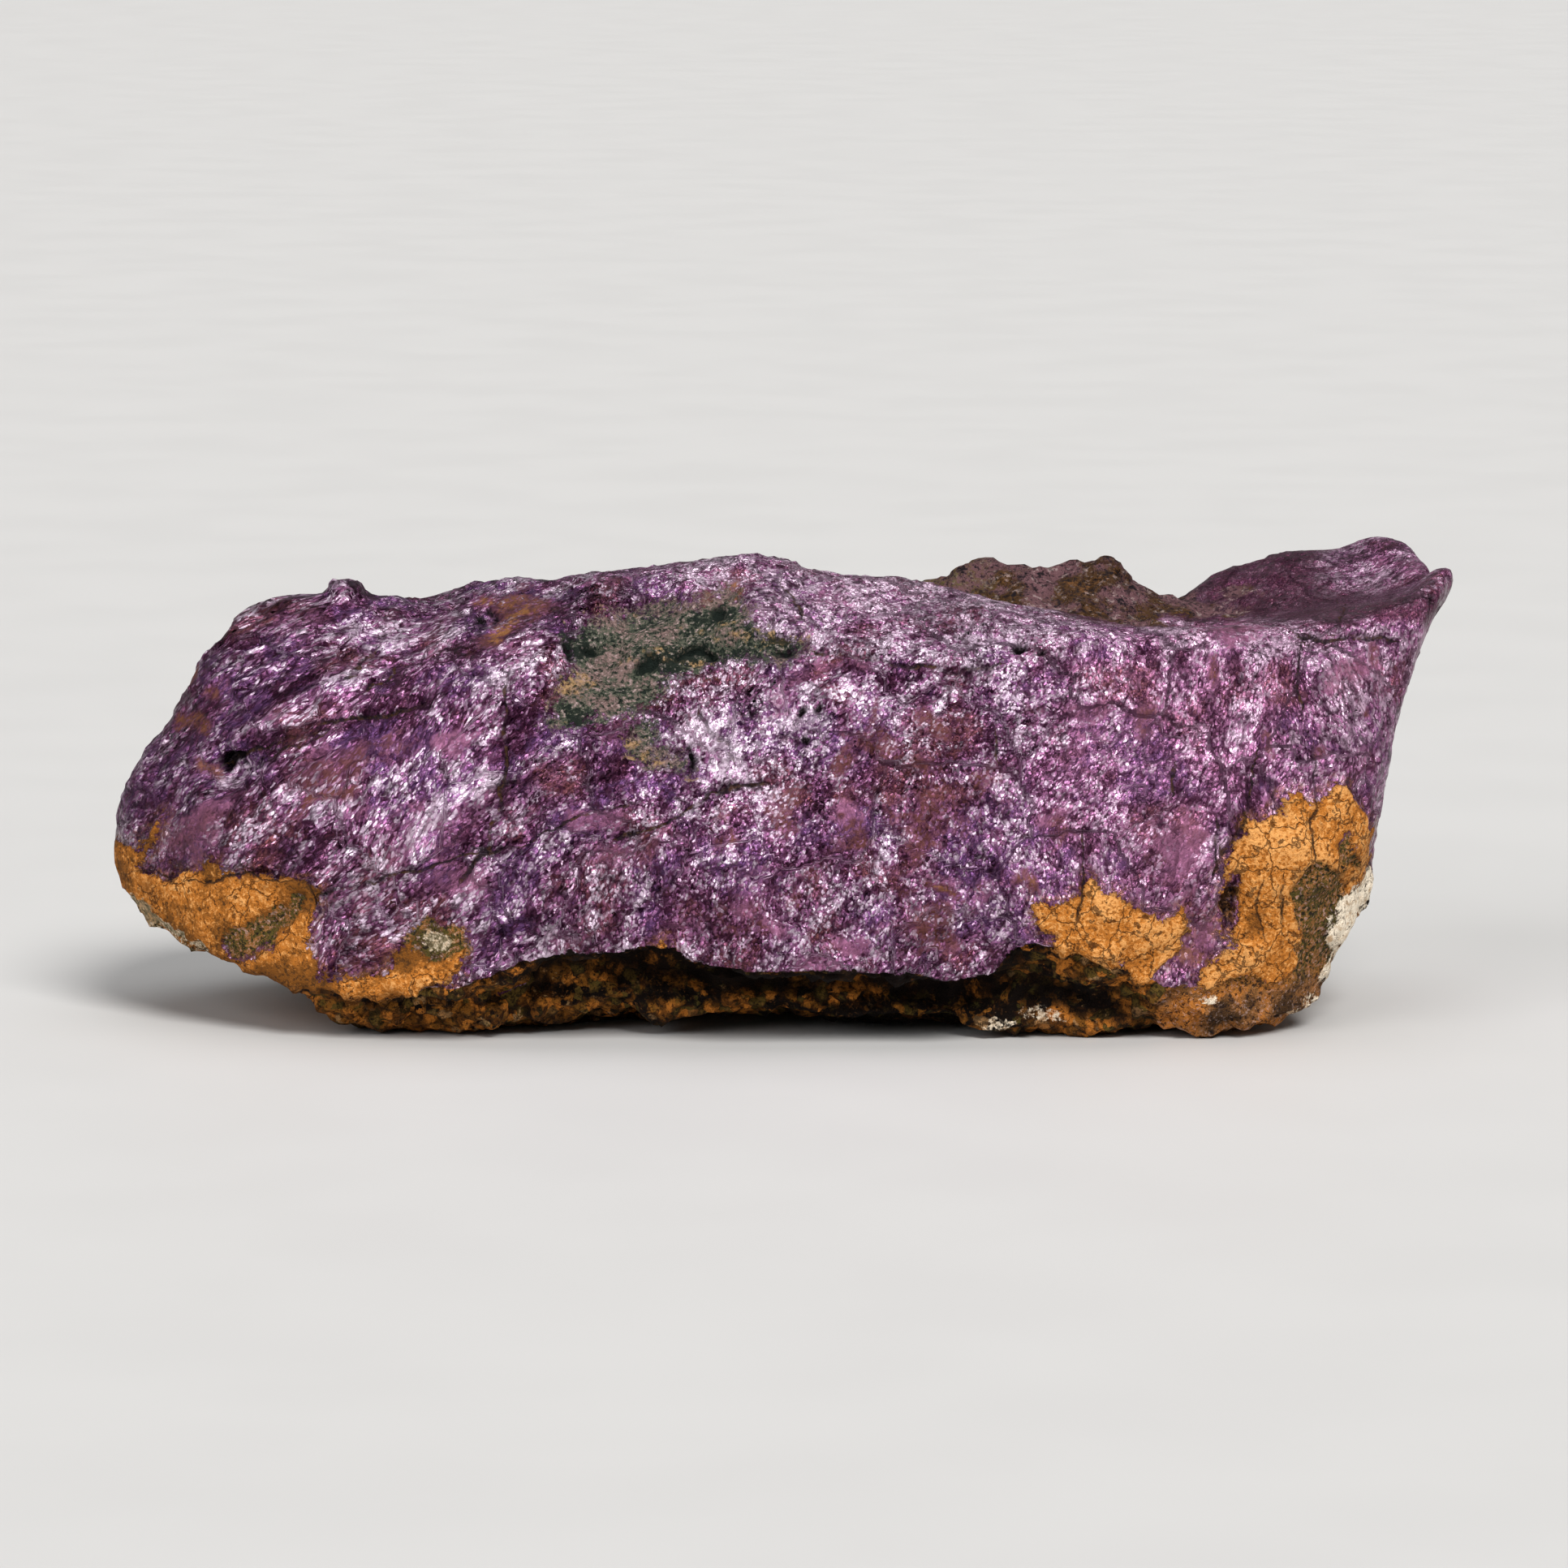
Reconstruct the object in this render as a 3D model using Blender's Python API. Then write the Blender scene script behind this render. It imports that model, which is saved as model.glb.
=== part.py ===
"""A purpurite hand specimen: one broken lump of purple manganese phosphate.

The stone is lofted along its length. Each arris is a line that runs from the left end to the
right end, and the arrises, taken in order round the stone, give its outline at any station.
Its ledges, cracks, pits and broken faces are then pressed into that skin, which is thinned to
facets and cut flat where the stone rests. Millimetres until the mesh is made, with +X to the
right along the stone, +Y from the good face to the broken back and +Z up.
"""

import math

import bmesh
import bpy
from mathutils import Vector, noise

MM = 0.001

# Driving dimensions: the stone's length, and the triangles that its faceted skin may have.
LENGTH = 80.0
TRIANGLES = 9600

# How finely the skin is lofted before it is thinned to facets.
STATIONS = 190
FINENESS = 3
CAP_RINGS = 9

# Each arris: how round it is (1 is smooth, 0 is a sharp edge), how many strips reach to the
# next one, and its own line as (x, y, z).
ARRISES = {
    # The lower edge of the good face, which overhangs the base.
    "lip": (0.35, 6, [
        (-37.2, -4.6, 4.8), (-34.0, -7.6, 4.2), (-30.5, -9.8, 3.7), (-26.3, -11.8, 2.8),
        (-20.4, -13.0, 2.9), (-17.3, -13.8, 3.9), (-14.0, -14.0, 4.7), (-7.6, -14.2, 5.1),
        (-5.0, -14.4, 4.4), (0.6, -14.5, 4.5), (3.5, -14.4, 4.1), (11.3, -14.0, 3.8),
        (13.4, -13.9, 5.2), (15.7, -13.8, 5.6), (18.1, -13.5, 4.5), (22.8, -12.6, 3.3),
        (25.6, -11.6, 1.6), (28.8, -9.5, 1.2), (31.6, -5.6, 2.4),
    ]),
    # The broad middle of the good face.
    "belly": (1.0, 6, [
        (-38.9, -3.6, 9.4), (-33.0, -8.6, 10.8), (-25.0, -12.0, 11.8), (-15.0, -13.9, 12.1),
        (0.0, -14.6, 12.2), (15.0, -14.0, 12.0), (25.0, -12.8, 12.0), (31.0, -10.8, 11.8),
        (33.9, -7.4, 11.6),
    ]),
    # The break between the good face and the band that rolls back above it.
    "brow": (0.55, 5, [
        (-37.8, -2.4, 14.8), (-33.4, -6.0, 16.4), (-28.0, -8.8, 18.2), (-24.0, -9.6, 19.4),
        (-16.8, -9.8, 21.2), (-10.0, -9.8, 22.7), (-2.0, -9.8, 23.4), (0.6, -10.2, 22.9),
        (3.5, -10.8, 22.4), (6.3, -11.2, 22.0), (11.1, -11.2, 22.0), (13.9, -10.8, 22.5),
        (17.2, -10.2, 23.0), (24.0, -9.8, 22.8), (30.0, -9.2, 23.0), (36.7, -6.4, 23.2),
    ]),
    # The skyline of the front half.
    "ridge": (0.7, 4, [
        (-37.0, 0.0, 17.0), (-35.4, 0.4, 20.0), (-33.6, 0.8, 22.4), (-32.2, 1.0, 23.5),
        (-29.8, 1.0, 24.1), (-27.4, 1.0, 24.6), (-24.8, 1.0, 24.5), (-22.0, 1.0, 23.9),
        (-20.4, 0.8, 24.1), (-18.9, 0.4, 24.8), (-17.0, 0.0, 25.4), (-13.8, -0.8, 25.8),
        (-9.0, -1.8, 26.6), (-1.8, -2.4, 27.1), (1.6, -2.4, 26.6), (5.5, -2.6, 25.9),
        (9.4, -3.2, 25.4), (12.8, -4.4, 24.7),
        (16.2, -5.2, 23.9), (21.4, -5.6, 23.6), (26.0, -5.8, 23.8), (30.0, -5.8, 24.0),
        (34.0, -5.0, 24.5), (36.6, -4.2, 25.2), (38.0, -3.2, 26.1), (39.0, -2.2, 26.4),
    ]),
    # The hollow behind the skyline, which opens at the right into a sloping shelf.
    "saddle": (1.0, 4, [
        (-36.6, 4.0, 16.6), (-32.4, 6.0, 21.6), (-24.0, 6.0, 23.0), (-14.0, 4.5, 24.4),
        (-4.0, 3.0, 25.9), (4.0, 2.0, 25.2), (10.0, 1.5, 23.8), (17.0, 0.8, 23.6),
        (22.5, 0.6, 22.6), (28.0, 1.2, 23.2), (33.0, 1.8, 24.2), (36.4, 2.2, 25.0),
        (38.7, 1.4, 26.0),
    ]),
    # The knobs and the crest that stand behind.
    "crest": (0.6, 4, [
        (-36.2, 8.0, 15.6), (-31.4, 10.4, 20.0), (-22.0, 11.0, 21.6), (-10.0, 9.5, 23.0),
        (0.0, 8.0, 24.2), (7.0, 6.8, 24.7), (8.8, 6.2, 25.5), (9.9, 6.0, 26.0), (11.4, 6.0, 26.0),
        (13.9, 6.0, 26.1), (18.3, 6.2, 26.0), (19.8, 6.4, 25.7), (21.4, 6.8, 24.9),
        (23.4, 7.8, 23.8), (24.4, 8.8, 24.4), (25.6, 9.4, 25.3), (27.9, 10.0, 25.9),
        (31.6, 10.2, 26.1), (33.4, 10.2, 26.4), (34.3, 10.2, 27.2), (35.5, 10.2, 27.7),
        (36.6, 10.0, 27.5), (37.4, 9.6, 26.8), (38.0, 8.6, 25.2),
    ]),
    # The upper edge of the broken back.
    "shoulder": (0.5, 5, [
        (-36.0, 10.2, 13.0), (-29.4, 14.0, 16.4), (-18.0, 15.0, 18.2), (-6.0, 13.4, 20.2),
        (6.0, 12.4, 21.0), (16.0, 13.4, 20.4), (26.0, 14.6, 20.0), (36.4, 13.0, 20.6),
    ]),
    # The middle of the broken back, with one shallow hollow.
    "back": (0.8, 5, [
        (-36.2, 10.0, 9.8), (-28.4, 15.2, 10.0), (-16.0, 16.4, 10.6), (-4.0, 14.0, 11.6),
        (8.0, 13.2, 12.2), (18.0, 15.4, 11.2), (27.0, 16.6, 11.0), (34.4, 13.6, 11.6),
    ]),
    # Where the back turns under.
    "heel": (0.6, 4, [
        (-35.4, 7.4, 6.6), (-28.4, 12.2, 4.2), (-16.0, 14.4, 3.2), (-4.0, 12.6, 3.0),
        (8.0, 12.4, 3.2), (18.0, 13.8, 2.8), (26.0, 14.0, 3.0), (32.8, 10.6, 5.0),
    ]),
    # The rear edge of the sole.
    "sole_back": (0.6, 4, [
        (-34.6, 3.4, 4.8), (-27.6, 7.0, 1.0), (-20.0, 9.6, -0.6), (-8.0, 9.0, -0.7),
        (6.0, 8.6, -0.7), (18.0, 9.6, -0.7), (25.0, 8.8, -0.5), (31.0, 5.4, 2.4),
    ]),
    # The front edge of the sole, which is the lower edge of the base as seen from the front.
    "sole_front": (0.4, 3, [
        (-35.0, -1.8, 4.6), (-31.5, -5.0, 4.0), (-28.6, -7.4, 3.3), (-26.9, -8.8, 1.9),
        (-25.4, -9.4, 0.7),
        (-20.6, -9.6, 0.5), (-14.9, -9.6, 0.9), (-10.6, -9.7, 1.4), (-3.4, -9.8, 1.3),
        (0.0, -10.1, 1.4), (5.2, -10.2, 0.9), (10.0, -10.2, 0.7), (12.6, -10.2, -0.3),
        (15.2, -10.2, 0.4), (16.6, -10.2, 0.5), (18.4, -10.2, 0.1), (20.9, -10.0, 1.0),
        (22.3, -9.9, 0.7), (24.2, -9.7, -0.4), (27.0, -8.6, 0.3), (30.6, -4.6, 2.0),
    ]),
    # The inner corner under the lip.
    "recess": (0.5, 3, [
        (-35.8, -3.6, 4.6), (-30.4, -8.4, 3.6), (-26.3, -10.4, 2.4), (-20.4, -11.0, 2.1),
        (-17.3, -10.6, 2.8), (-14.0, -10.2, 4.0), (-7.6, -10.3, 4.2), (0.6, -10.5, 3.6),
        (10.5, -10.8, 3.0), (14.0, -10.8, 4.0), (18.0, -11.0, 3.0), (21.6, -11.3, 1.9),
        (25.0, -11.0, 0.7), (28.4, -9.2, 0.8), (31.2, -5.2, 2.2),
    ]),
}

# The points that close the two ends, and how full each end is (1 is a dome, 0 is flat).
LEFT_TIP = Vector((-40.0, -0.2, 8.3))
LEFT_FULLNESS = 0.65
RIGHT_TIP = Vector((35.3, 3.0, 13.6))
RIGHT_FULLNESS = 0.2

# Broken faces on the sides that look away: a point on each, the way it faces and how far the
# break reaches from that point.
BREAKS = [
    ((-27.0, 14.4, 9.0), (-0.42, 0.90, 0.05), 11.0),
    ((-13.0, 15.2, 13.0), (-0.05, 0.96, 0.28), 10.0),
    ((6.0, 12.6, 9.0), (0.02, 0.99, -0.10), 9.0),
    ((20.0, 15.0, 14.0), (-0.10, 0.96, 0.26), 9.0),
    ((29.0, 14.4, 8.0), (0.34, 0.92, -0.16), 8.0),
    ((22.0, 12.2, 3.6), (0.10, 0.64, -0.76), 9.0),
    ((-18.0, 12.6, 3.6), (-0.12, 0.66, -0.74), 9.0),
    ((-27.0, 11.4, 17.6), (-0.24, 0.62, 0.74), 8.0),
    ((34.4, 3.0, 8.0), (0.88, 0.08, -0.46), 9.0),
    ((36.0, 7.0, 18.0), (0.95, 0.30, -0.05), 8.0),
]
BREAK_SOFTNESS = 2.5

# Knobs that stand on the skin: the middle of each, its radius and its height.
KNOBS = [
    ((-26.5, 0.2, 24.8), 2.0, 0.8), ((-17.0, 5.0, 24.6), 5.0, 0.9), ((17.4, 7.0, 25.8), 3.0, 0.6),
    ((12.0, 6.0, 25.0), 2.6, 0.6), ((31.0, 7.0, 24.8), 4.0, 0.5), ((-30.0, 9.0, 19.6), 4.0, 0.8),
    ((34.4, -1.0, 7.6), 3.2, 0.6), ((4.0, 12.0, 21.0), 5.0, 0.8), ((38.2, -1.2, 25.2), 2.2, 0.5),
]

# What is pressed into the good face and into the back, seen from the front as (x, z).
# Cracks: width, depth and line. Pits: middle, radius and depth. Ledges: height of the step,
# how far below its line it dies away, and line; the skin above the line stands proud.
# Patches: middle, half width, half height, and how far the patch stands out.
GOOD_FACE = {
    "cracks": [
        (1.0, 0.5, [(-6.6, 13.6), (-5.6, 14.2), (-4.0, 14.9), (-2.5, 15.2), (0.1, 16.0),
                    (2.6, 16.6)]),
        (1.0, 0.4, [(-16.2, 20.8), (-16.3, 17.6), (-16.1, 14.4), (-16.7, 13.5), (-17.2, 11.8),
                    (-18.1, 10.7), (-19.0, 9.6)]),
        (1.0, 0.3, [(-17.4, 11.4), (-15.4, 11.7), (-13.8, 12.1)]),
        (1.4, 0.8, [(-32.6, 15.5), (-30.2, 16.3), (-28.0, 17.6), (-24.1, 18.9), (-21.5, 19.8)]),
        (1.0, 0.5, [(27.5, 16.4), (27.0, 14.4), (26.6, 13.1), (26.6, 11.7), (26.0, 10.8)]),
        (1.2, 1.0, [(25.9, 9.9), (25.9, 8.1), (25.9, 6.4)]),
        (0.9, 0.4, [(30.9, 14.7), (30.8, 13.0), (30.8, 11.4)]),
        (0.9, 0.4, [(17.5, 10.4), (17.3, 8.8), (17.1, 7.1)]),
        (1.1, 0.6, [(26.8, 23.6), (28.2, 23.2), (30.1, 23.0), (32.5, 23.1), (35.0, 23.3)]),
        (1.0, 0.6, [(-27.6, 1.9), (-24.0, 1.9), (-20.0, 2.4)]),
    ],
    "pits": [
        ((-33.0, 15.2), 1.8, 1.2), ((-11.2, 23.0), 1.7, 0.6), ((-5.8, 22.6), 2.0, 0.6),
        ((-7.8, 25.0), 1.6, 0.4), ((-5.0, 16.7), 1.4, 0.7), ((-12.6, 22.6), 1.3, 0.4),
        ((-29.6, 7.4), 1.6, 0.6), ((32.2, 8.4), 2.2, 0.6), ((38.0, 23.6), 1.2, 0.6),
        ((1.6, 22.4), 1.5, 0.4), ((20.5, 17.2), 1.6, 0.3), ((-8.6, 8.4), 1.8, 0.3),
    ],
    "ledges": [
        (0.6, 5.0, [(-1.0, 23.4), (0.6, 22.9), (3.5, 22.3), (6.3, 21.9), (11.1, 21.9),
                    (13.9, 22.4), (17.2, 23.1)]),
        (0.4, 4.0, [(-14.6, 19.0), (-11.3, 18.3), (-9.8, 19.0), (-6.9, 20.3), (-4.6, 22.0)]),
        (0.4, 4.0, [(-7.6, 17.4), (-6.2, 16.0), (-4.2, 15.4), (-2.6, 15.8)]),
        (0.4, 4.5, [(-33.0, 9.5), (-30.0, 9.1), (-27.2, 8.6)]),
    ],
    "patches": [
        ((-7.4, 22.4), 6.6, 3.6, -0.7), ((30.6, 9.2), 4.2, 6.2, 0.4), ((19.0, 7.0), 4.2, 3.0, 0.4),
        ((-31.6, 6.8), 5.2, 3.0, 0.3),
    ],
}
BACK_FACE = {
    "cracks": [
        (1.0, 1.0, [(-24.0, 6.0), (-20.5, 8.4), (-17.0, 9.2), (-12.4, 12.6), (-9.0, 13.4)]),
        (0.9, 0.8, [(8.0, 19.0), (9.2, 15.6), (8.6, 12.4), (10.6, 8.8)]),
        (0.8, 0.6, [(-2.0, 8.4), (2.4, 7.6), (5.2, 8.2)]),
        (1.0, 0.9, [(24.0, 17.6), (25.6, 14.0), (28.8, 11.6)]),
    ],
    "pits": [
        ((-14.0, 16.4), 1.8, 1.0), ((3.0, 14.6), 2.2, 1.1), ((17.0, 6.4), 1.6, 0.8),
        ((31.6, 18.0), 1.6, 0.9), ((-29.0, 8.0), 1.8, 0.8),
    ],
    "ledges": [
        (1.5, 7.0, [(-31.0, 12.4), (-26.0, 15.6), (-21.0, 16.2), (-15.4, 19.4), (-9.0, 20.0)]),
        (1.3, 6.0, [(-8.0, 9.6), (-3.4, 12.2), (2.0, 12.6), (6.4, 16.0), (12.0, 16.8)]),
        (1.4, 6.5, [(9.0, 6.0), (14.0, 8.8), (19.0, 9.4), (23.6, 13.0), (30.4, 14.2)]),
        (0.9, 4.0, [(18.0, 18.6), (23.0, 20.0), (29.0, 20.4)]),
        (0.9, 4.0, [(-24.0, 4.6), (-18.0, 6.0), (-13.0, 5.6)]),
    ],
    "patches": [
        ((2.0, 6.0), 8.0, 3.4, -0.8), ((27.0, 8.0), 5.0, 4.0, 0.5), ((-20.0, 11.0), 5.0, 3.0, 0.4),
    ],
}

# The waviness of the skin: size and height of each run of lumps.
WAVES = [(11.0, 0.55), (5.0, 0.40), (2.4, 0.22)]

# The grain of the good face: the way it runs at the left end and at the right end, in degrees
# up from +X, the spacing of its ridges, their height, and where the grain stands upright.
GRAIN_LEFT = 36.0
GRAIN_RIGHT = 84.0
GRAIN_SPACING = 1.9
GRAIN_HEIGHT = 0.20
GRAIN_REACH = (-30.0, 30.0)

# How wide the riser of a ledge is, and how steeply knobs, pits and patches rise at their edges.
RISER = 0.8
EDGE = 1.5

# How far a normal must lean towards a face before that face's relief begins, and over how much
# more lean it reaches its full height.
FACING_FROM = 0.1
FACING_OVER = 0.3

# How deep below the ground line the loft reaches, and the margin of the block that cuts it.
CUT_DEPTH = 6.0
CUT_MARGIN = 10.0


def along(line, share):
    """The point this share of the way along an arris, on a smooth curve through its points."""
    x = line[0][0] + share * (line[-1][0] - line[0][0])
    i = max(k for k in range(len(line) - 1) if line[k][0] <= x + 1e-9)
    start, end = Vector(line[i]), Vector(line[i + 1])
    before = Vector(line[i - 1]) if i else start - (end - start)
    after = Vector(line[i + 2]) if i + 2 < len(line) else end + (end - start)
    span = end.x - start.x
    leave = (end - before) * (span / (end.x - before.x))
    arrive = (after - start) * (span / (after.x - start.x))
    return hermite(start, end, leave, arrive, (x - start.x) / span)


def hermite(start, end, leave, arrive, t):
    """A cubic from start to end that leaves and arrives in the directions given."""
    return (
        start * (2 * t**3 - 3 * t**2 + 1)
        + leave * (t**3 - 2 * t**2 + t)
        + end * (3 * t**2 - 2 * t**3)
        + arrive * (t**3 - t**2)
    )


def ring(share):
    """The closed outline of the stone at this share of its length."""
    corners = [along(line, share) for _, _, line in ARRISES.values()]
    roundness = [r for r, _, _ in ARRISES.values()]
    strips = [n * FINENESS for _, n, _ in ARRISES.values()]
    points = []
    for i, corner in enumerate(corners):
        j = (i + 1) % len(corners)
        leave = (corners[j] - corners[i - 1]) * (roundness[i] / 2)
        arrive = (corners[(j + 1) % len(corners)] - corner) * (roundness[j] / 2)
        for k in range(strips[i]):
            points.append(hermite(corner, corners[j], leave, arrive, k / strips[i]))
    return points


def cap(rim, tip, fullness):
    """Rings that close in from an end's rim to its tip."""
    rings = []
    for k in range(1, CAP_RINGS):
        t = k / CAP_RINGS
        outward = t + fullness * (math.sin(t * math.pi / 2) - t)
        inward = t + fullness * (1 - math.cos(t * math.pi / 2) - t)
        rings.append([
            Vector((
                p.x + (tip.x - p.x) * outward,
                p.y + (tip.y - p.y) * inward,
                p.z + (tip.z - p.z) * inward,
            ))
            for p in rim
        ])
    return rings


def loft():
    """The smooth skin of the stone, before anything is pressed into it."""
    body = [ring(k / (STATIONS - 1)) for k in range(STATIONS)]
    left = cap(body[0], LEFT_TIP, LEFT_FULLNESS)[::-1]
    right = cap(body[-1], RIGHT_TIP, RIGHT_FULLNESS)
    bm = bmesh.new()
    rows = [[bm.verts.new(p) for p in points] for points in left + body + right]
    count = len(rows[0])
    for a, b in zip(rows, rows[1:]):
        for k in range(count):
            n = (k + 1) % count
            bm.faces.new((a[k], b[k], b[n], a[n]))
    for tip, row, step in ((LEFT_TIP, rows[0], 1), (RIGHT_TIP, rows[-1], -1)):
        point = bm.verts.new(tip)
        for k in range(count):
            bm.faces.new((row[k], row[(k + step) % count], point))
    bm.normal_update()
    return bm


def distance_to_line(x, z, line):
    """How far (x, z) lies from a line, and how far above it (below it is negative)."""
    best, above = math.inf, 0.0
    for (ax, az), (bx, bz) in zip(line, line[1:]):
        dx, dz = bx - ax, bz - az
        t = ((x - ax) * dx + (z - az) * dz) / (dx * dx + dz * dz)
        t = min(1.0, max(0.0, t))
        px, pz = ax + t * dx, az + t * dz
        away = math.hypot(x - px, z - pz)
        if away < best:
            best, above = away, z - pz
    return best, above


def ease(t):
    """A smooth step from 0 to 1."""
    t = min(1.0, max(0.0, t))
    return t * t * (3 - 2 * t)


def oval(x, z, middle, half_width, half_height):
    """1 in the middle of an oval patch, falling to 0 at its edge."""
    reach = math.hypot((x - middle[0]) / half_width, (z - middle[1]) / half_height)
    return ease((1 - reach) * EDGE)


def relief(x, z, face):
    """How far a face's features stand out of the skin here, negative where they cut into it."""
    height = 0.0
    for width, depth, line in face["cracks"]:
        away, _ = distance_to_line(x, z, line)
        height -= depth * ease(1 - away / width)
    for (px, pz), radius, depth in face["pits"]:
        away = math.hypot(x - px, z - pz)
        height -= depth * ease((1 - away / radius) * EDGE)
    for step, fade, line in face["ledges"]:
        away, above = distance_to_line(x, z, line)
        if above < 0:
            height -= step * ease(away / RISER) * max(0.0, 1 - away / fade)
    for middle, half_width, half_height, out in face["patches"]:
        height += out * oval(x, z, middle, half_width, half_height)
    return height


def grain(x, z):
    """The low ridges of the cleavage, which swing from slanting to upright along the stone."""
    low, high = GRAIN_REACH
    share = ease((x - low) / (high - low))
    angle = math.radians(GRAIN_LEFT + share * (GRAIN_RIGHT - GRAIN_LEFT))
    across = (-x * math.sin(angle) + z * math.cos(angle)) / GRAIN_SPACING
    lengthwise = (x * math.cos(angle) + z * math.sin(angle)) / (GRAIN_SPACING * 4)
    return GRAIN_HEIGHT * noise.noise(Vector((across, lengthwise, 3.0)))


def waviness(point):
    """The lumps of the broken stone, the same on every side."""
    return sum(
        height * noise.noise(point / size + Vector((size, 0.0, 0.0)))
        for size, height in WAVES
    )


def break_off(point):
    """The point, brought back onto each broken face that it stands outside."""
    for on_face, facing, reach in BREAKS:
        facing = Vector(facing).normalized()
        offset = point - Vector(on_face)
        outside = offset.dot(facing)
        if outside > 0:
            held = ease((reach - offset.length) / BREAK_SOFTNESS)
            point = point - facing * (outside * held)
    return point


def knobs(point):
    """How far the knobs stand out of the skin at this point."""
    return sum(
        height * ease((1 - (point - Vector(middle)).length / radius) * EDGE)
        for middle, radius, height in KNOBS
    )


def weather(bm):
    """Press the breaks, the faces' relief and the waviness into the skin."""
    normals = [vertex.normal.copy() for vertex in bm.verts]
    for vertex, normal in zip(bm.verts, normals):
        point = break_off(vertex.co)
        front = ease((-normal.y - FACING_FROM) / FACING_OVER)
        back = ease((normal.y - FACING_FROM) / FACING_OVER)
        height = waviness(point) + knobs(point)
        if front > 0:
            height += front * (relief(point.x, point.z, GOOD_FACE) + grain(point.x, point.z))
        if back > 0:
            height += back * relief(point.x, point.z, BACK_FACE)
        vertex.co = point + normal * height


def centre(bm):
    """Scale the skin to the stone's length and bring its middle over the origin."""
    xs = [vertex.co.x for vertex in bm.verts]
    ys = [vertex.co.y for vertex in bm.verts]
    size = MM * LENGTH / (max(xs) - min(xs))
    middle = Vector(((max(xs) + min(xs)) / 2, (max(ys) + min(ys)) / 2, 0.0))
    bmesh.ops.translate(bm, vec=-middle, verts=bm.verts)
    bmesh.ops.scale(bm, vec=(size, size, size), verts=bm.verts)


def ground_block():
    """The block below z = 0 that cuts the stone flat where it rests."""
    half = (LENGTH / 2 + CUT_MARGIN) * MM
    bm = bmesh.new()
    bmesh.ops.create_cube(bm, size=1.0)
    bmesh.ops.scale(bm, vec=(2 * half, half, CUT_DEPTH * MM), verts=bm.verts)
    bmesh.ops.translate(bm, vec=(0.0, 0.0, -CUT_DEPTH * MM / 2), verts=bm.verts)
    block = link("ground_block", bm)
    block.hide_render = True
    block.display_type = "WIRE"
    return block


def link(name, bm):
    """Turn a bmesh into an object of the scene."""
    mesh = bpy.data.meshes.new(name)
    bm.to_mesh(mesh)
    bm.free()
    obj = bpy.data.objects.new(name, mesh)
    bpy.context.scene.collection.objects.link(obj)
    return obj


def purpurite_material():
    """The purple of the good face, with its satin gleam."""
    material = bpy.data.materials.new("purpurite")
    material.use_nodes = True
    shader = material.node_tree.nodes["Principled BSDF"]
    shader.inputs["Base Color"].default_value = (0.27, 0.14, 0.21, 1.0)
    shader.inputs["Roughness"].default_value = 0.45
    shader.inputs["Metallic"].default_value = 0.2
    return material


def build_stone():
    """The whole specimen as one solid."""
    bm = loft()
    weather(bm)
    centre(bm)
    bmesh.ops.triangulate(bm, faces=bm.faces)
    share = TRIANGLES / len(bm.faces)
    stone = link("purpurite_stone", bm)
    thin = stone.modifiers.new("facets", "DECIMATE")
    thin.ratio = share
    rest = stone.modifiers.new("resting_cut", "BOOLEAN")
    rest.operation = "DIFFERENCE"
    rest.object = ground_block()
    stone.data.materials.append(purpurite_material())
    return stone


def main():
    for obj in list(bpy.data.objects):
        bpy.data.objects.remove(obj)
    build_stone()


main()
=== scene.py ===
import functools
import itertools
import math

import bpy
import numpy as np
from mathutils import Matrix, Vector


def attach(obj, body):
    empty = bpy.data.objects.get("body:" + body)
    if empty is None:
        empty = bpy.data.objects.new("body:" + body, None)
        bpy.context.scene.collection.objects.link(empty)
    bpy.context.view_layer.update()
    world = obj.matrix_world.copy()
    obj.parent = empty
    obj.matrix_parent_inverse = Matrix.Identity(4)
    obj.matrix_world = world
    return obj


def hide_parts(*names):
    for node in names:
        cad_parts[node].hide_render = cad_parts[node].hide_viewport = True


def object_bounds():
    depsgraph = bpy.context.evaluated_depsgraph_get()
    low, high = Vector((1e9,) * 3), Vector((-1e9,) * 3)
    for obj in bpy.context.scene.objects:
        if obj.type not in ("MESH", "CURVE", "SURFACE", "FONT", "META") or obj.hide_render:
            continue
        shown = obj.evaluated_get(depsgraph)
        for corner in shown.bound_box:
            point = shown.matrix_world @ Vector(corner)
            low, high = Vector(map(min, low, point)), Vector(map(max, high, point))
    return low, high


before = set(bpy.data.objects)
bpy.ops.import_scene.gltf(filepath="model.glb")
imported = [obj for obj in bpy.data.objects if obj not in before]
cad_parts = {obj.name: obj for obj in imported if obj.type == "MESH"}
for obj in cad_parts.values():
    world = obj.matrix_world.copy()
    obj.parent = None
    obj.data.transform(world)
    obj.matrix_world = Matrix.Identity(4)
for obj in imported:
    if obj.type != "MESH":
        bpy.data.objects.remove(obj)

bl_info = {
    "name": "Purpurite specimen",
    "version": (1, 0, 0),
    "blender": (4, 5, 0),
    "location": "3D View > Sidebar > Purpurite",
    "description": "Shapes and colours a broken lump of purpurite on its packed solid",
    "category": "Object",
}

MM = 0.001
NODE = "purpurite_stone"
SOLID_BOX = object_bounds()
LOW, HIGH = np.array(SOLID_BOX, float) / MM
# How far inside that box the points stay, in mm.
BOX_GAP = 0.004
# Which faces are split once more: how squarely they face the camera, and how high they are in mm.
SPLIT_FACING = 0.26
SPLIT_ABOVE = 0.8
# Faces that meet at less than this angle are shaded as one.
SMOOTH_ANGLE = math.radians(50)
# What brings the noise's range close to -1 to 1.
NOISE_GAIN = 1.6

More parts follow.
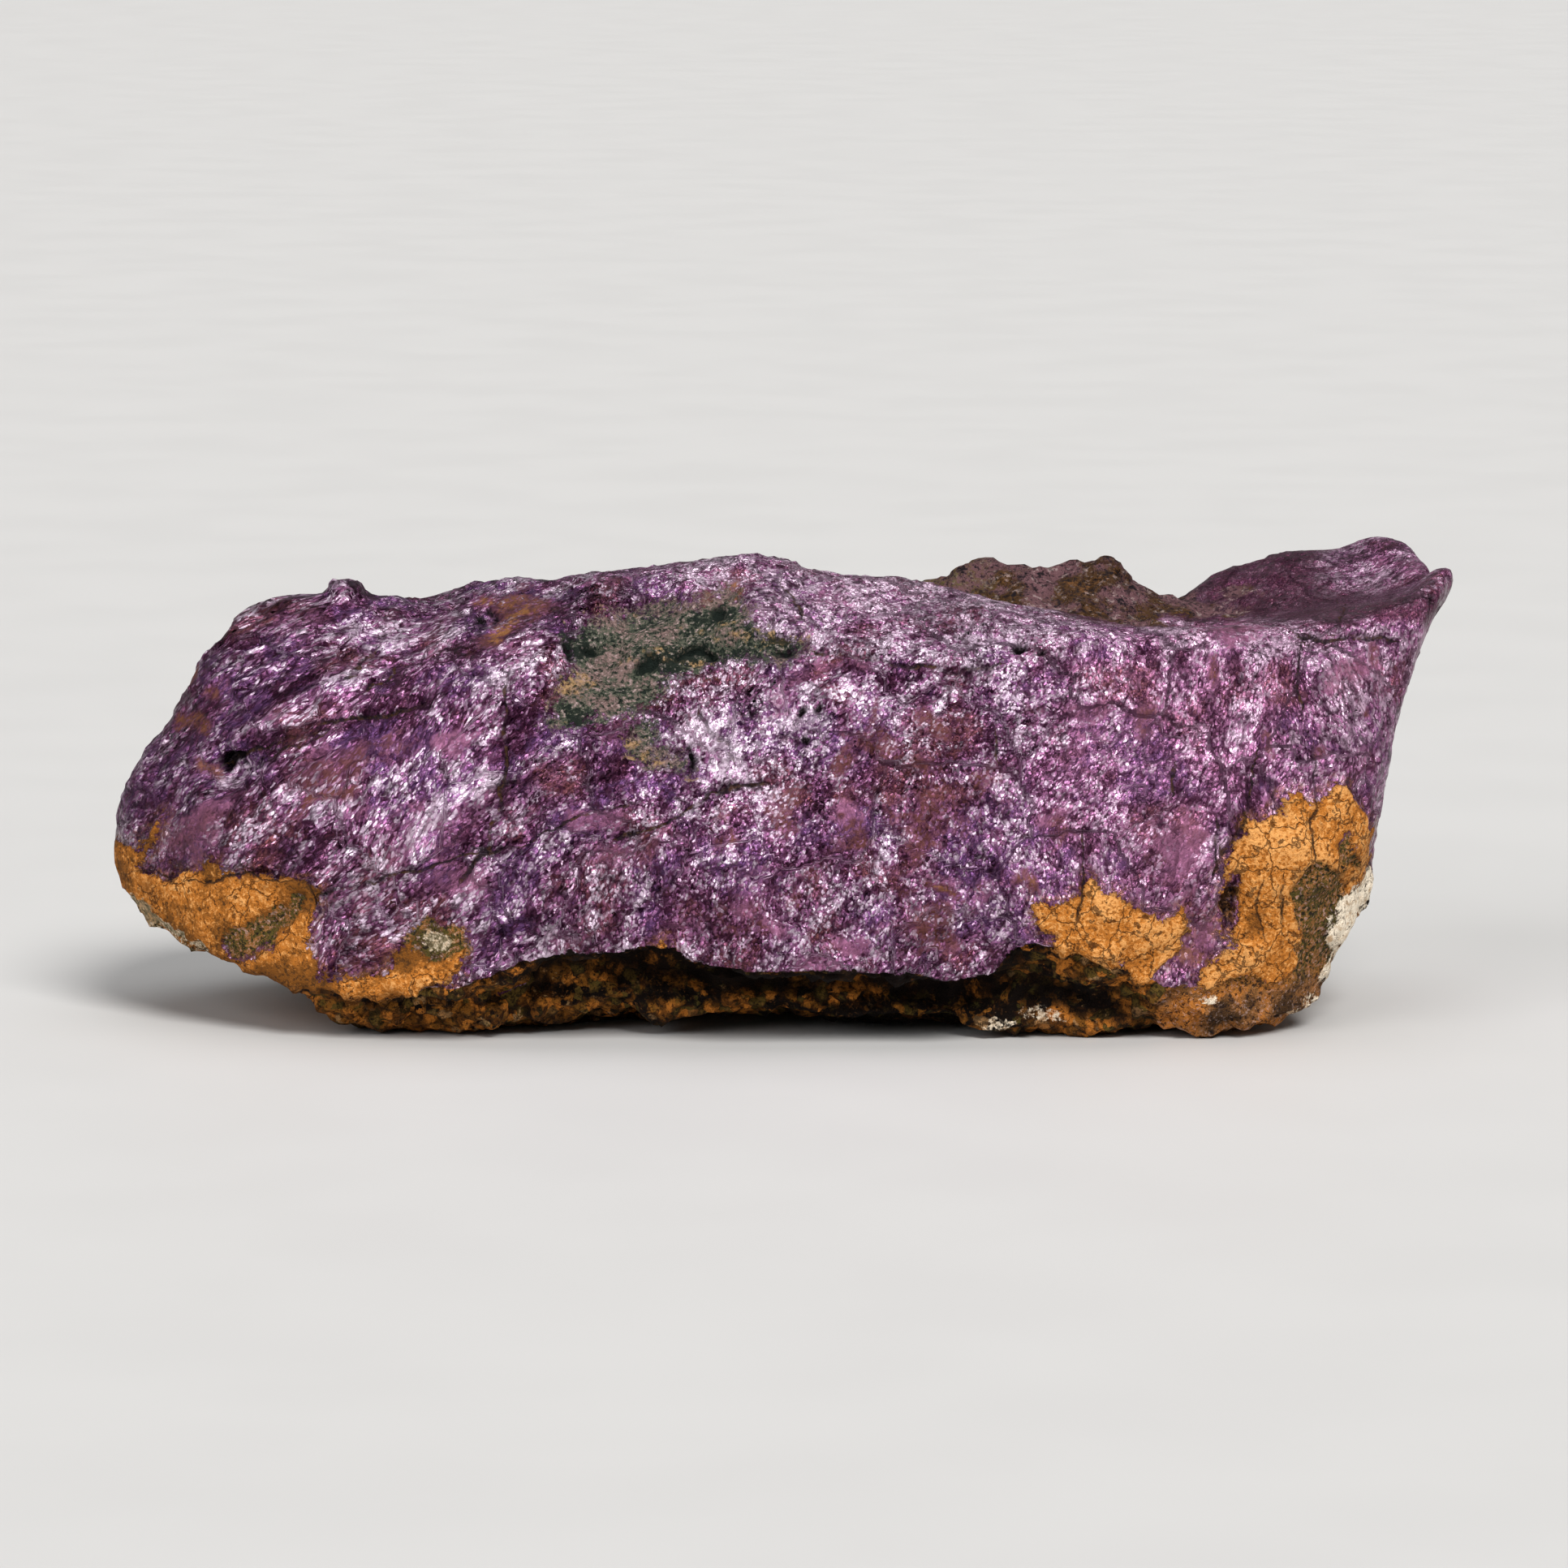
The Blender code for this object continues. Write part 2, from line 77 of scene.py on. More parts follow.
# The view from the front, which the outlines below are drawn in. In mm: the camera's distance, the height that
# it aims at, and how far the ground lies below that in the picture.
VIEW_ELEVATION = math.radians(8.0)
VIEW_DISTANCE = 450.0
VIEW_AIM = 13.49
VIEW_FOOT = 13.36
# Width of the camera's sensor in mm, size of the floor and how far it lies under the stone, in m.
SENSOR = 36.0
FLOOR_SIZE = 12.0
FLOOR_DROP = 0.00002
# Wide soft lights: name, spread and turn in degrees, and colour.
SUNS = (
    ("key", 26, (44, 0, 24), (1.0, 0.985, 0.97)),
    ("front", 36, (60, 0, -40), (0.98, 0.98, 1.0)),
    ("top", 50, (14, 0, 150), (1.0, 1.0, 1.0)),
)

# Outlines on the good face, in mm across and up, as seen from the front. The ground is at 0.
RUST = (
    ((26.1, 8.3), (26.9, 9.1), (27.5, 10.1), (27.6, 11.3), (28.5, 11.5), (29.7, 11.5), (29.7, 12.5),
     (30.9, 12.8), (31.7, 12.5), (32.7, 12.5), (33.1, 13.5), (33.7, 13.1), (34.5, 12.1), (35.0, 10.6),
     (34.9, 9.1), (34.4, 7.8), (33.9, 6.2), (33.5, 7.0), (33.1, 8.3), (32.1, 8.5), (30.7, 7.8),
     (30.4, 6.8), (30.3, 6.0), (30.7, 5.0), (31.1, 4.0), (30.7, 2.4), (29.7, 1.8), (28.5, 1.6),
     (27.3, 1.8), (25.7, 1.0), (24.9, 1.4), (25.3, 2.8), (26.1, 3.2), (26.5, 4.0), (25.9, 4.8), (25.9, 6.8)),
    ((15.1, 6.6), (16.4, 6.2), (17.8, 7.0), (18.1, 7.7), (18.7, 7.4), (19.3, 6.8), (20.2, 6.9),
     (20.9, 6.4), (21.7, 5.6), (22.9, 5.2), (23.9, 5.7), (24.3, 5.0), (23.8, 3.4), (22.9, 2.8),
     (22.3, 1.8), (21.1, 1.6), (20.1, 2.2), (19.1, 2.4), (18.0, 2.4), (17.0, 2.8), (16.0, 3.2),
     (16.4, 4.4), (15.2, 5.0)),
    ((-38.6, 8.0), (-36.8, 7.8), (-34.8, 8.5), (-33.8, 8.6), (-33.6, 7.9), (-32.1, 7.9), (-30.7, 7.8),
     (-29.3, 7.7), (-28.1, 7.4), (-27.5, 6.8), (-27.7, 5.8), (-28.3, 4.5), (-28.1, 3.3), (-27.7, 2.1),
     (-26.1, 1.7), (-24.5, 2.1), (-23.5, 2.7), (-22.5, 3.7), (-21.3, 4.2), (-19.7, 3.9), (-19.1, 3.3),
     (-19.2, 2.5), (-19.9, 1.5), (-21.3, 1.0), (-22.5, 0.5), (-24.9, 0.5), (-27.5, 0.7), (-29.3, 1.2),
     (-31.5, 1.8), (-33.2, 2.3), (-35.2, 3.3), (-37.0, 4.3), (-38.4, 5.8), (-39.2, 7.0), (-41.2, 6.4),
     (-41.4, 8.6), (-41.2, 10.2), (-39.4, 9.8), (-38.4, 9.4), (-37.6, 11.2), (-37.1, 11.6), (-37.3, 10.2),
     (-38.4, 8.4)),
    ((-7.6, 3.9), (-7.1, 4.1), (-6.8, 3.6), (-7.1, 3.1), (-7.6, 3.3)),
)
BROWN_CRUST = (
    ((30.5, 7.8), (32.1, 8.5), (33.1, 8.3), (35.0, 8.0), (34.5, 5.8), (34.5, 4.4), (34.2, 3.0),
     (33.6, 1.4), (33.0, -0.5), (31.5, -2.0), (22.5, -2.0), (22.5, 0.4), (24.5, 1.0), (25.7, 1.2), (27.3, 1.8),
     (28.5, 1.6), (29.7, 1.8), (30.7, 2.4), (31.2, 4.0), (30.7, 5.0), (30.3, 6.4)),
    ((-33.6, 4.5), (-31.5, 5.5), (-30.1, 6.0), (-28.7, 6.8), (-28.6, 5.8), (-29.8, 4.8), (-30.6, 3.9),
     (-31.6, 3.6), (-32.8, 3.5)),
    ((-22.4, 3.7), (-21.2, 4.9), (-19.4, 4.6), (-19.0, 3.3), (-20.9, 2.5)),
    ((33.2, 9.7), (33.7, 9.9), (34.2, 9.2), (34.0, 8.3), (33.3, 8.4)),
)
# The part of the cleavage with brown blotches.
RUSTY = (
    (-12.0, 3.0), (-9.0, 11.5), (-1.0, 13.0), (3.0, 18.5), (24.0, 18.5), (24.5, 8.0), (15.0, 7.5), (13.0, 3.0),
)
# Places where the orange crust is missing.
BREAKS = (
    ((-33.5, 4.5), (-31.5, 5.4), (-30.1, 5.9), (-28.8, 6.7), (-28.7, 5.9), (-29.9, 4.9), (-30.6, 3.3),
     (-32.4, 2.9), (-33.6, 3.6)),
    ((33.1, 10.0), (33.6, 10.3), (34.0, 9.7), (34.1, 8.5), (33.4, 8.3), (33.3, 9.2)),
    ((26.1, 7.6), (26.7, 8.2), (27.3, 7.4), (27.3, 4.6), (26.7, 3.8), (26.1, 4.6)),
    ((-22.3, 3.7), (-21.2, 4.8), (-19.5, 4.5), (-19.2, 3.3), (-20.9, 2.6)),
)
CREAM = (
    ((34.6, 8.3), (37.5, 8.6), (38.5, 5.0), (37.0, 2.0), (35.5, -1.5), (29.6, -2.2), (29.8, -1.3), (31.1, 0.0),
     (31.8, 0.9), (32.3, 1.9), (32.7, 3.4), (32.6, 4.7), (33.3, 6.2), (34.1, 7.4)),
    ((25.1, 0.3), (25.5, 0.6), (25.8, 0.4), (25.5, 0.1)),
    ((-39.9, 6.7), (-39.4, 5.1), (-38.2, 3.6), (-37.0, 2.6), (-34.8, 2.4), (-34.5, 3.5), (-35.9, 4.4),
     (-36.9, 5.2), (-37.8, 6.2), (-38.5, 6.9)),
    ((-21.6, 4.1), (-20.6, 4.6), (-19.8, 4.2), (-20.2, 3.5), (-21.2, 3.4)),
    ((14.2, -0.4), (15.0, 0.0), (15.9, -0.1), (16.8, -0.5), (15.6, -0.9), (14.6, -0.8)),
    ((11.9, -1.0), (12.7, -0.7), (13.6, -0.9), (13.2, -1.3), (12.2, -1.4)),
)
GREEN = (
    ((-13.3, 22.2), (-11.5, 23.1), (-9.9, 23.7), (-8.5, 24.0), (-5.1, 24.4), (-3.4, 25.3), (-2.6, 24.5),
     (-1.8, 22.9), (0.0, 22.2), (1.1, 21.7), (1.0, 21.0), (0.0, 20.6), (-2.6, 20.8), (-4.2, 20.3),
     (-5.8, 20.1), (-7.0, 19.9), (-7.2, 19.0), (-8.5, 17.8), (-9.9, 17.4), (-11.3, 17.2), (-12.7, 16.6),
     (-14.4, 16.9), (-14.0, 18.0), (-12.6, 20.1), (-13.0, 21.9)),
    ((-8.5, 17.5), (-7.5, 17.0), (-7.5, 15.3), (-5.6, 14.9), (-5.6, 14.1), (-7.6, 14.4), (-9.0, 14.9),
     (-9.3, 16.3)),
)
LIP = ((-42.0, 2.0), (-33.2, 1.2), (-29.3, 0.3), (-27.7, 0.4), (-24.5, 0.5), (-20.4, 0.5), (-17.4, 0.6),
       (-15.4, 1.5), (-14.2, 2.5), (-13.8, 3.1), (-12.4, 3.3), (-9.0, 3.1), (-7.2, 2.9), (-5.8, 2.6),
       (-4.4, 2.2), (-2.6, 1.9), (-1.0, 1.9), (0.8, 2.2), (2.2, 2.3), (4.2, 2.1), (6.3, 1.9), (8.3, 1.8),
       (10.3, 1.6), (12.3, 1.6), (13.9, 2.5), (15.1, 3.1), (16.4, 3.0), (17.6, 2.2), (20.1, 1.6),
       (22.5, 1.2), (24.5, 0.4), (25.7, -1.0), (42.0, -2.0))
# Bright plates of cleavage: raised a little, and painted with paler flakes, a painted highlight.
BRIGHT = (
    ((-7.7, 16.3), (-5.9, 17.5), (-3.0, 17.8), (-2.6, 16.3), (-3.0, 14.6), (-1.5, 13.9), (-2.6, 13.4),
     (-4.2, 13.3), (-5.1, 14.4), (-6.4, 15.1), (-7.6, 15.3)),
    ((-1.5, 19.0), (0.9, 19.7), (4.6, 20.0), (5.3, 18.7), (4.1, 17.5), (2.1, 16.6), (0.0, 16.3), (-1.7, 17.0)),
    ((-23.5, 9.6), (-20.5, 12.8), (-18.0, 15.2), (-17.2, 14.4), (-18.6, 11.8), (-21.5, 9.4)),
    ((-33.0, 16.4), (-30.0, 18.0), (-25.0, 21.5), (-22.5, 22.0), (-24.5, 18.5), (-29.5, 16.8)),
)
# Cracks: width of the hollow and its depth in mm, then the line.
CRACKS = (
    (0.30, 0.40, ((-33.2, 14.8), (-31.5, 15.6), (-29.3, 16.2), (-26.5, 17.0), (-23.1, 17.9), (-21.3, 18.1))),
    (0.24, 0.25, ((-30.9, 14.6), (-29.9, 15.3), (-28.6, 15.9), (-27.2, 16.3))),
    (0.30, 0.20, ((-26.3, 19.5), (-25.4, 20.5), (-24.6, 21.3))),
    (0.26, 0.20, ((-24.9, 18.8), (-24.0, 19.6), (-23.2, 20.4))),
    (0.30, 0.40, ((-16.5, 19.9), (-16.7, 17.4), (-16.6, 15.3), (-16.7, 13.4), (-17.2, 11.4), (-17.6, 9.8),
                  (-18.5, 8.5), (-19.3, 7.4))),
    (0.22, 0.22, ((-27.7, 6.8), (-24.9, 7.4), (-20.4, 8.7), (-18.5, 9.1), (-15.3, 9.8), (-12.4, 11.4),
                  (-9.0, 12.2))),
    (0.30, 0.45, ((-1.0, 13.4), (-2.6, 13.1), (-4.2, 12.8), (-5.8, 11.6), (-7.9, 10.6), (-9.9, 10.0))),
    (0.22, 0.30, ((-35.7, 7.6), (-32.2, 7.8), (-28.5, 7.6), (-28.0, 6.3))),
    (0.36, 0.50, ((-27.7, 0.6), (-24.5, 0.5), (-20.4, 0.5), (-17.2, 0.6))),
    (0.30, 0.40, ((-4.8, 17.4), (-4.2, 16.2), (-3.4, 15.8), (-3.0, 14.6))),
    (0.34, 0.35, ((0.2, 25.3), (0.7, 24.6), (1.0, 23.6))),
    (0.26, 0.30, ((1.8, 21.3), (4.2, 21.2), (6.3, 20.6), (8.3, 20.4), (10.3, 19.9), (12.8, 20.4))),
    (0.34, 0.40, ((30.6, 22.3), (32.2, 22.0), (34.5, 22.1), (36.5, 22.1))),
    (0.24, 0.30, ((33.4, 23.8), (33.3, 23.1), (33.1, 22.4))),
    (0.22, 0.25, ((31.7, 15.3), (31.9, 12.5), (31.5, 10.5), (31.5, 8.9))),
    (0.26, 0.40, ((28.4, 15.3), (27.9, 13.5), (27.5, 11.9), (27.3, 11.0), (26.6, 9.3), (26.0, 8.1))),
    (0.22, 0.30, ((25.9, 11.2), (26.0, 9.5), (26.2, 8.2))),
    (0.22, 0.25, ((17.8, 10.5), (17.9, 7.8), (17.6, 5.3))),
    (0.36, 0.35, ((23.2, 14.5), (23.3, 13.7), (23.2, 13.0))),
    (0.24, 0.25, ((12.6, 16.5), (12.9, 14.7))),
    (0.20, 0.20, ((30.9, 21.8), (30.8, 19.7), (30.9, 17.5))),
    (0.20, 0.25, ((28.6, 7.2), (28.5, 5.9), (28.7, 4.3))),
    (0.18, 0.20, ((29.6, 7.8), (29.7, 5.4))),
    (0.20, 0.20, ((-36.7, 7.7), (-37.9, 8.3), (-38.9, 8.1))),
)
# Pits: place, half width, half height and depth in mm.
PITS = (
    ((-33.0, 15.0), 0.9, 0.5, 0.8),
    ((-30.6, 5.4), 0.4, 0.35, 0.4),
    ((-12.9, 21.5), 0.5, 0.9, 0.6),
    ((-11.6, 21.3), 0.5, 0.5, 0.5),
    ((-8.1, 20.8), 0.9, 0.4, 0.6),
    ((-6.2, 21.0), 0.5, 0.4, 0.5),
    ((-5.1, 21.3), 0.9, 0.4, 0.7),
    ((-4.0, 23.8), 0.6, 0.5, 0.5),
    ((0.0, 21.3), 0.8, 0.4, 0.4),
    ((-5.4, 14.8), 0.45, 0.8, 0.8),
    ((14.1, 21.7), 0.6, 0.5, 0.6),
    ((15.7, 21.4), 0.5, 0.3, 0.4),
    ((1.0, 17.8), 0.5, 0.4, 0.3),
    ((2.3, 17.8), 0.4, 0.5, 0.3),
    ((1.2, 16.0), 0.5, 0.4, 0.3),
    ((38.7, 24.2), 0.35, 0.5, 0.5),
    ((26.7, 6.1), 0.60, 1.8, 0.8),
    ((-18.1, 23.3), 0.3, 0.3, 0.3),
    ((-17.3, 23.3), 0.3, 0.25, 0.3),
)
# Matte films on the cleavage: place, half length, half height in mm, turn in degrees, and how brown it is.
FILMS = (
    ((-26.1, 14.8), 4.4, 1.1, 20, 0.6), ((-27.5, 12.6), 2.0, 0.9, 15, 0.9), ((-35.0, 11.4), 3.4, 0.8, 25, 0.0),
    ((-19.3, 16.2), 1.6, 0.7, 10, 0.0), ((-18.8, 7.4), 1.2, 0.8, 60, 0.0), ((3.4, 20.3), 2.2, 0.6, -4, 0.1),
    ((5.4, 16.2), 0.8, 2.8, 0, 0.7), ((3.2, 11.6), 1.6, 0.8, 25, 0.0), ((-8.8, 9.4), 3.0, 1.2, 10, 0.35),
    ((10.2, 7.4), 2.9, 1.2, 5, 0.0), ((-1.4, 4.6), 2.1, 1.0, 0, 0.0), ((8.3, 4.6), 2.0, 1.2, 5, 0.8),
    ((3.6, 14.6), 1.0, 1.2, 0, 0.8), ((18.0, 17.9), 1.5, 1.0, 0, 0.15), ((21.7, 17.1), 1.2, 1.6, 10, 0.8),
    ((25.2, 20.1), 0.7, 1.1, 0, 0.95), ((34.5, 18.1), 0.5, 0.6, 0, 0.9), ((34.9, 21.0), 0.4, 1.2, 0, 0.8),
    ((24.5, 11.1), 1.3, 1.1, 40, 0.3), ((23.5, 9.1), 1.8, 1.6, 70, 0.0), ((11.6, 7.9), 2.0, 0.8, 0, 0.0),
    ((26.9, 22.3), 2.0, 0.8, 0, 0.1), ((33.3, 19.7), 1.2, 1.4, 0, 0.3), ((-11.2, 11.2), 2.0, 0.7, 25, 0.0),
    ((2.6, 3.4), 2.6, 0.8, 0, 0.0), ((16.2, 11.2), 1.4, 1.0, 30, 0.0), ((-15.8, 23.9), 2.2, 1.1, 10, 0.98),
    ((-16.4, 22.6), 1.9, 0.5, 22, 1.15), ((-17.8, 24.3), 0.9, 0.45, 10, 1.1), ((-4.1, 24.9), 1.5, 0.6, 20, 1.15),
    ((-31.6, 3.8), 1.6, 0.9, 20, 0.8), ((33.6, 9.2), 0.8, 1.0, 0, 0.6), ((-34.3, 14.2), 0.8, 0.8, 60, 0.95),
    ((-35.7, 16.9), 0.6, 1.1, 55, 0.9), ((-34.6, 18.7), 0.6, 0.9, 50, 0.9), ((22.1, 16.6), 1.1, 1.0, 60, 0.85),
    ((31.6, 15.3), 0.6, 0.9, 0, 0.85), ((29.0, 15.8), 0.8, 0.9, 0, 0.85), ((8.7, 16.6), 0.6, 1.1, -20, 0.8),
    ((8.9, 6.9), 1.2, 0.6, -20, 1.1), ((14.4, 7.6), 0.9, 0.6, 0, 1.0), ((-2.5, 10.2), 0.6, 0.6, 0, 1.0),
    ((11.9, 13.6), 1.1, 0.8, 0, 0.0), ((23.6, 2.8), 1.2, 1.0, 0, 0.9), ((24.3, 5.0), 0.9, 1.8, -15, 0.35),
    ((-35.3, 10.0), 2.3, 1.5, 35, 0.2),
)

# The hump at the left is lower than the solid but for the little knob on it: place, half length and half
# height in mm. The dull knob at the back is an oval as seen from above: place, half length and half depth.
HUMP = ((-26.0, 25.6), 5.2, 2.2)
HUMP_KNOB = ((-26.1, 25.6), 1.8, 1.6)
BACK_KNOB = ((17.0, 4.5), 9.5, 5.0)

# How much ochre the rock under the lip has, at places from left to right in mm.
OCHRE = ((-33.0, -19.0, -13.0, -4.0, 6.0, 13.0, 20.0, 30.0), (0.95, 0.90, 0.62, 0.55, 0.25, 0.35, 0.75, 0.9))
# How pale the cleavage's flakes are painted, a painted sheen, at places from left to right in mm.
PAINTED_GLITTER = (
    (-38.0, -32.0, -25.0, -12.0, 0.0, 10.0, 18.0, 26.0, 36.0),
    (0.43, 0.45, 0.53, 0.50, 0.52, 0.51, 0.51, 0.56, 0.62),
)
# How much paler the orange crust is, at places from left to right in mm.
PALE_RUST = ((-40.0, -31.0, -24.0, 12.0, 24.0, 28.0, 36.0), (-0.10, -0.13, -0.07, 0.38, 0.38, 0.26, 0.16))
# The darkest places in the green filling: place, half width and half height in mm.
GREEN_SHADES = (
    ((-12.8, 17.6), 1.7, 1.0), ((-7.2, 21.2), 2.3, 0.9), ((-3.6, 23.4), 1.3, 1.0), ((0.2, 21.5), 1.2, 0.6),
    ((-12.6, 21.5), 1.1, 1.1), ((-6.6, 15.2), 1.0, 1.0), ((-10.2, 19.4), 1.0, 0.7),
)

# How the cleavage runs across the good face: degrees up from the right, at the left and at the right end, how
# far from the middle in mm these ends are, and how many degrees lie between the runs of neighbouring grains.
RUN_LEFT = 36.0
RUN_RIGHT = 84.0
RUN_REACH = 30.0
RUN_SPREAD = 44.0
# How the bright bands at the left run, in degrees up from the right.
BAND_RUN = 37.0
# How much longer than wide the flakes are, as width over length at places from left to right, in mm.
SLENDER = ((-26.0, -9.0, 8.0, 25.0), (0.40, 0.70, 0.80, 0.58))
# Heights of the relief in mm.
GRAIN_STEP = 0.08
CHIP_TILT, CHIP_STEP = 0.24, 0.13
PLATE_TILT, PLATE_STEP = 0.14, 0.10
RIPPLE, BAND, BRIGHT_STEP = 0.10, 0.15, 0.16
RUST_LUMPS = 0.26
BROWN_LUMPS, BROWN_DROP = 0.17, 0.05
CREAM_BEADS, CREAM_LUMPS, CREAM_SHELF = 0.42, 0.14, 0.60
GREEN_DROP, GREEN_LUMPS = 0.40, 0.24
KNOB_LUMPS, KNOB_DROP = 0.55, 0.10
SOIL_LUMPS, SOIL_GRIT, SHADOW_DROP = 0.50, 0.42, 0.60
HUMP_DROP, HUMP_KNOB_RISE = 0.55, 0.60
GRAIN_GAP = 0.12

# A distance well outside a zone, and one further off than any, in mm.
OUTSIDE = -3.0
FAR = 1e9


# Numbers that repeat at every run. A seed picks one pattern of many.


def hashed(cell, seed):
    """Three numbers from 0 to 1 for each cell of a grid."""
    c = cell.astype(np.int64).astype(np.uint32) * np.array([0x9E3779B1, 0x85EBCA77, 0xC2B2AE3D], np.uint32)
    h = (c[..., 0] ^ c[..., 1] ^ c[..., 2]) + np.uint32((seed * 0x27D4EB2F) & 0xFFFFFFFF)
    out = np.empty(h.shape + (3,))
    for k in range(3):
        h = (h ^ (h >> np.uint32(15))) * np.uint32(0x2C1B3C6D)
        h = (h ^ (h >> np.uint32(12))) * np.uint32(0x297A2D39)
        h = h ^ (h >> np.uint32(15))
        out[..., k] = h / 2.0**32
    return out


def noise(points, size, seed, octaves=3):
    """Smooth lumps from -1 to 1, about size across, with smaller ones on them."""
    q = points / size
    total, reach, strength = np.zeros(len(q)), 0.0, 1.0
    for octave in range(octaves):
        base = np.floor(q)
        f = q - base
        f = f * f * f * (f * (f * 6 - 15) + 10)
        value = np.zeros(len(q))
        for corner in itertools.product((0, 1), repeat=3):
            weight = np.prod(np.where(corner, f, 1 - f), axis=1)
            value += weight * (hashed(base + corner, seed + octave)[:, 0] * 2 - 1)
        total += strength * value
        reach += strength
        strength *= 0.5
        # The next lumps are about half as big, and don't line up with these
        q = q * 2.03 + 17.3
    return total / reach * NOISE_GAIN


def shifted(places, points, size, seeds, octaves, reach):
    """Places moved by a noise for each direction, by up to about reach."""
    return places + np.column_stack([noise(points, size, seed, octaves) for seed in seeds]) * reach


def cells(points, size, seed):
    """Irregular cells: how far each point is from its cell's middle and from the next one's, in sizes,
    where that middle is, and three numbers of the cell's own."""
    q = points / size
    base = np.floor(q)
    first, second = np.full(len(q), FAR), np.full(len(q), FAR)
    middle, own = np.zeros((len(q), 3)), np.zeros((len(q), 3))
    for step in itertools.product((-1, 0, 1), repeat=3):
        cell = base + step
        at = cell + hashed(cell, seed)
        away = np.linalg.norm(q - at, axis=1)
        nearer = away < first
        second = np.where(nearer, first, np.minimum(second, away))
        first = np.where(nearer, away, first)
        middle[nearer] = at[nearer]
        own[nearer] = hashed(cell[nearer], seed + 77)
    return first, second, middle * size, own


def ease(value, start, end):
    """0 before start, 1 after end, smooth between them."""
    t = np.clip((value - start) / (end - start), 0, 1)
    return t * t * (3 - 2 * t)


def span(value, start, full, fading, end):
    """1 from full to fading, 0 before start and after end, smooth between them."""
    return ease(value, start, full) * (1 - ease(value, fading, end))


# Places on the good face


def towards_camera(elevation):
    """The direction from the stone to a camera in front of it."""
    return np.array([0, -math.cos(elevation), math.sin(elevation)])


FRONT = towards_camera(VIEW_ELEVATION)


def seen_from_front(points):
    """Across and up in mm, as the camera sees the points."""
    up = np.array([0, math.sin(VIEW_ELEVATION), math.cos(VIEW_ELEVATION)])
    away = points - np.array([0, 0, VIEW_AIM]) - FRONT * VIEW_DISTANCE
    depth = -(away @ FRONT)
    return np.column_stack([away[:, 0] / depth, away @ up / depth]) * VIEW_DISTANCE + (0, VIEW_FOOT)


def turned(across, up, angle):
    """Distances along and beside a direction that rises from the right by an angle in radians."""
    return across * np.cos(angle) + up * np.sin(angle), -across * np.sin(angle) + up * np.cos(angle)


def from_run(seen, a, b):
    """Distance from each point to the straight run from a to b."""
    run = b - a
    t = np.clip((seen - a) @ run / (run @ run), 0, 1)
    return np.linalg.norm(seen - a - t[:, None] * run, axis=1)


def beside_line(seen, line):
    """Distance in mm from each point to a line of straight runs, below 0 on its right-hand side."""
    nearest, side = np.full(len(seen), FAR), np.ones(len(seen))
    for a, b in itertools.pairwise(np.array(line, float)):
        away = from_run(seen, a, b)
        turn = (b - a)[0] * (seen[:, 1] - a[1]) - (b - a)[1] * (seen[:, 0] - a[0])
        side = np.where(away < nearest, np.where(turn < 0, -1.0, 1.0), side)
        nearest = np.minimum(nearest, away)
    return nearest * side


def within(seen, outline):
    """Distance in mm to an outline, above 0 inside it."""
    ring = np.array(outline, float)
    nearest, inside = np.full(len(seen), FAR), np.zeros(len(seen), bool)
    for a, b in zip(ring, np.roll(ring, -1, axis=0)):
        nearest = np.minimum(nearest, from_run(seen, a, b))
        if a[1] != b[1]:
            crosses = (a[1] > seen[:, 1]) != (b[1] > seen[:, 1])
            inside ^= crosses & (seen[:, 0] < (b[0] - a[0]) * (seen[:, 1] - a[1]) / (b[1] - a[1]) + a[0])
    return np.where(inside, nearest, -nearest)


def within_any(seen, outlines):
    """Distance in mm to the outlines, above 0 inside one of them."""
    return np.max([within(seen, outline) for outline in outlines], axis=0)


def in_oval(seen, place, half_long, half_high, turn=0.0):
    """Distance from an oval's middle, 1 at its edge. The turn is in degrees."""
    along, beside = turned(*(seen - np.array(place)).T, math.radians(turn))
    return np.hypot(along / half_long, beside / half_high)


# The surface of the stone


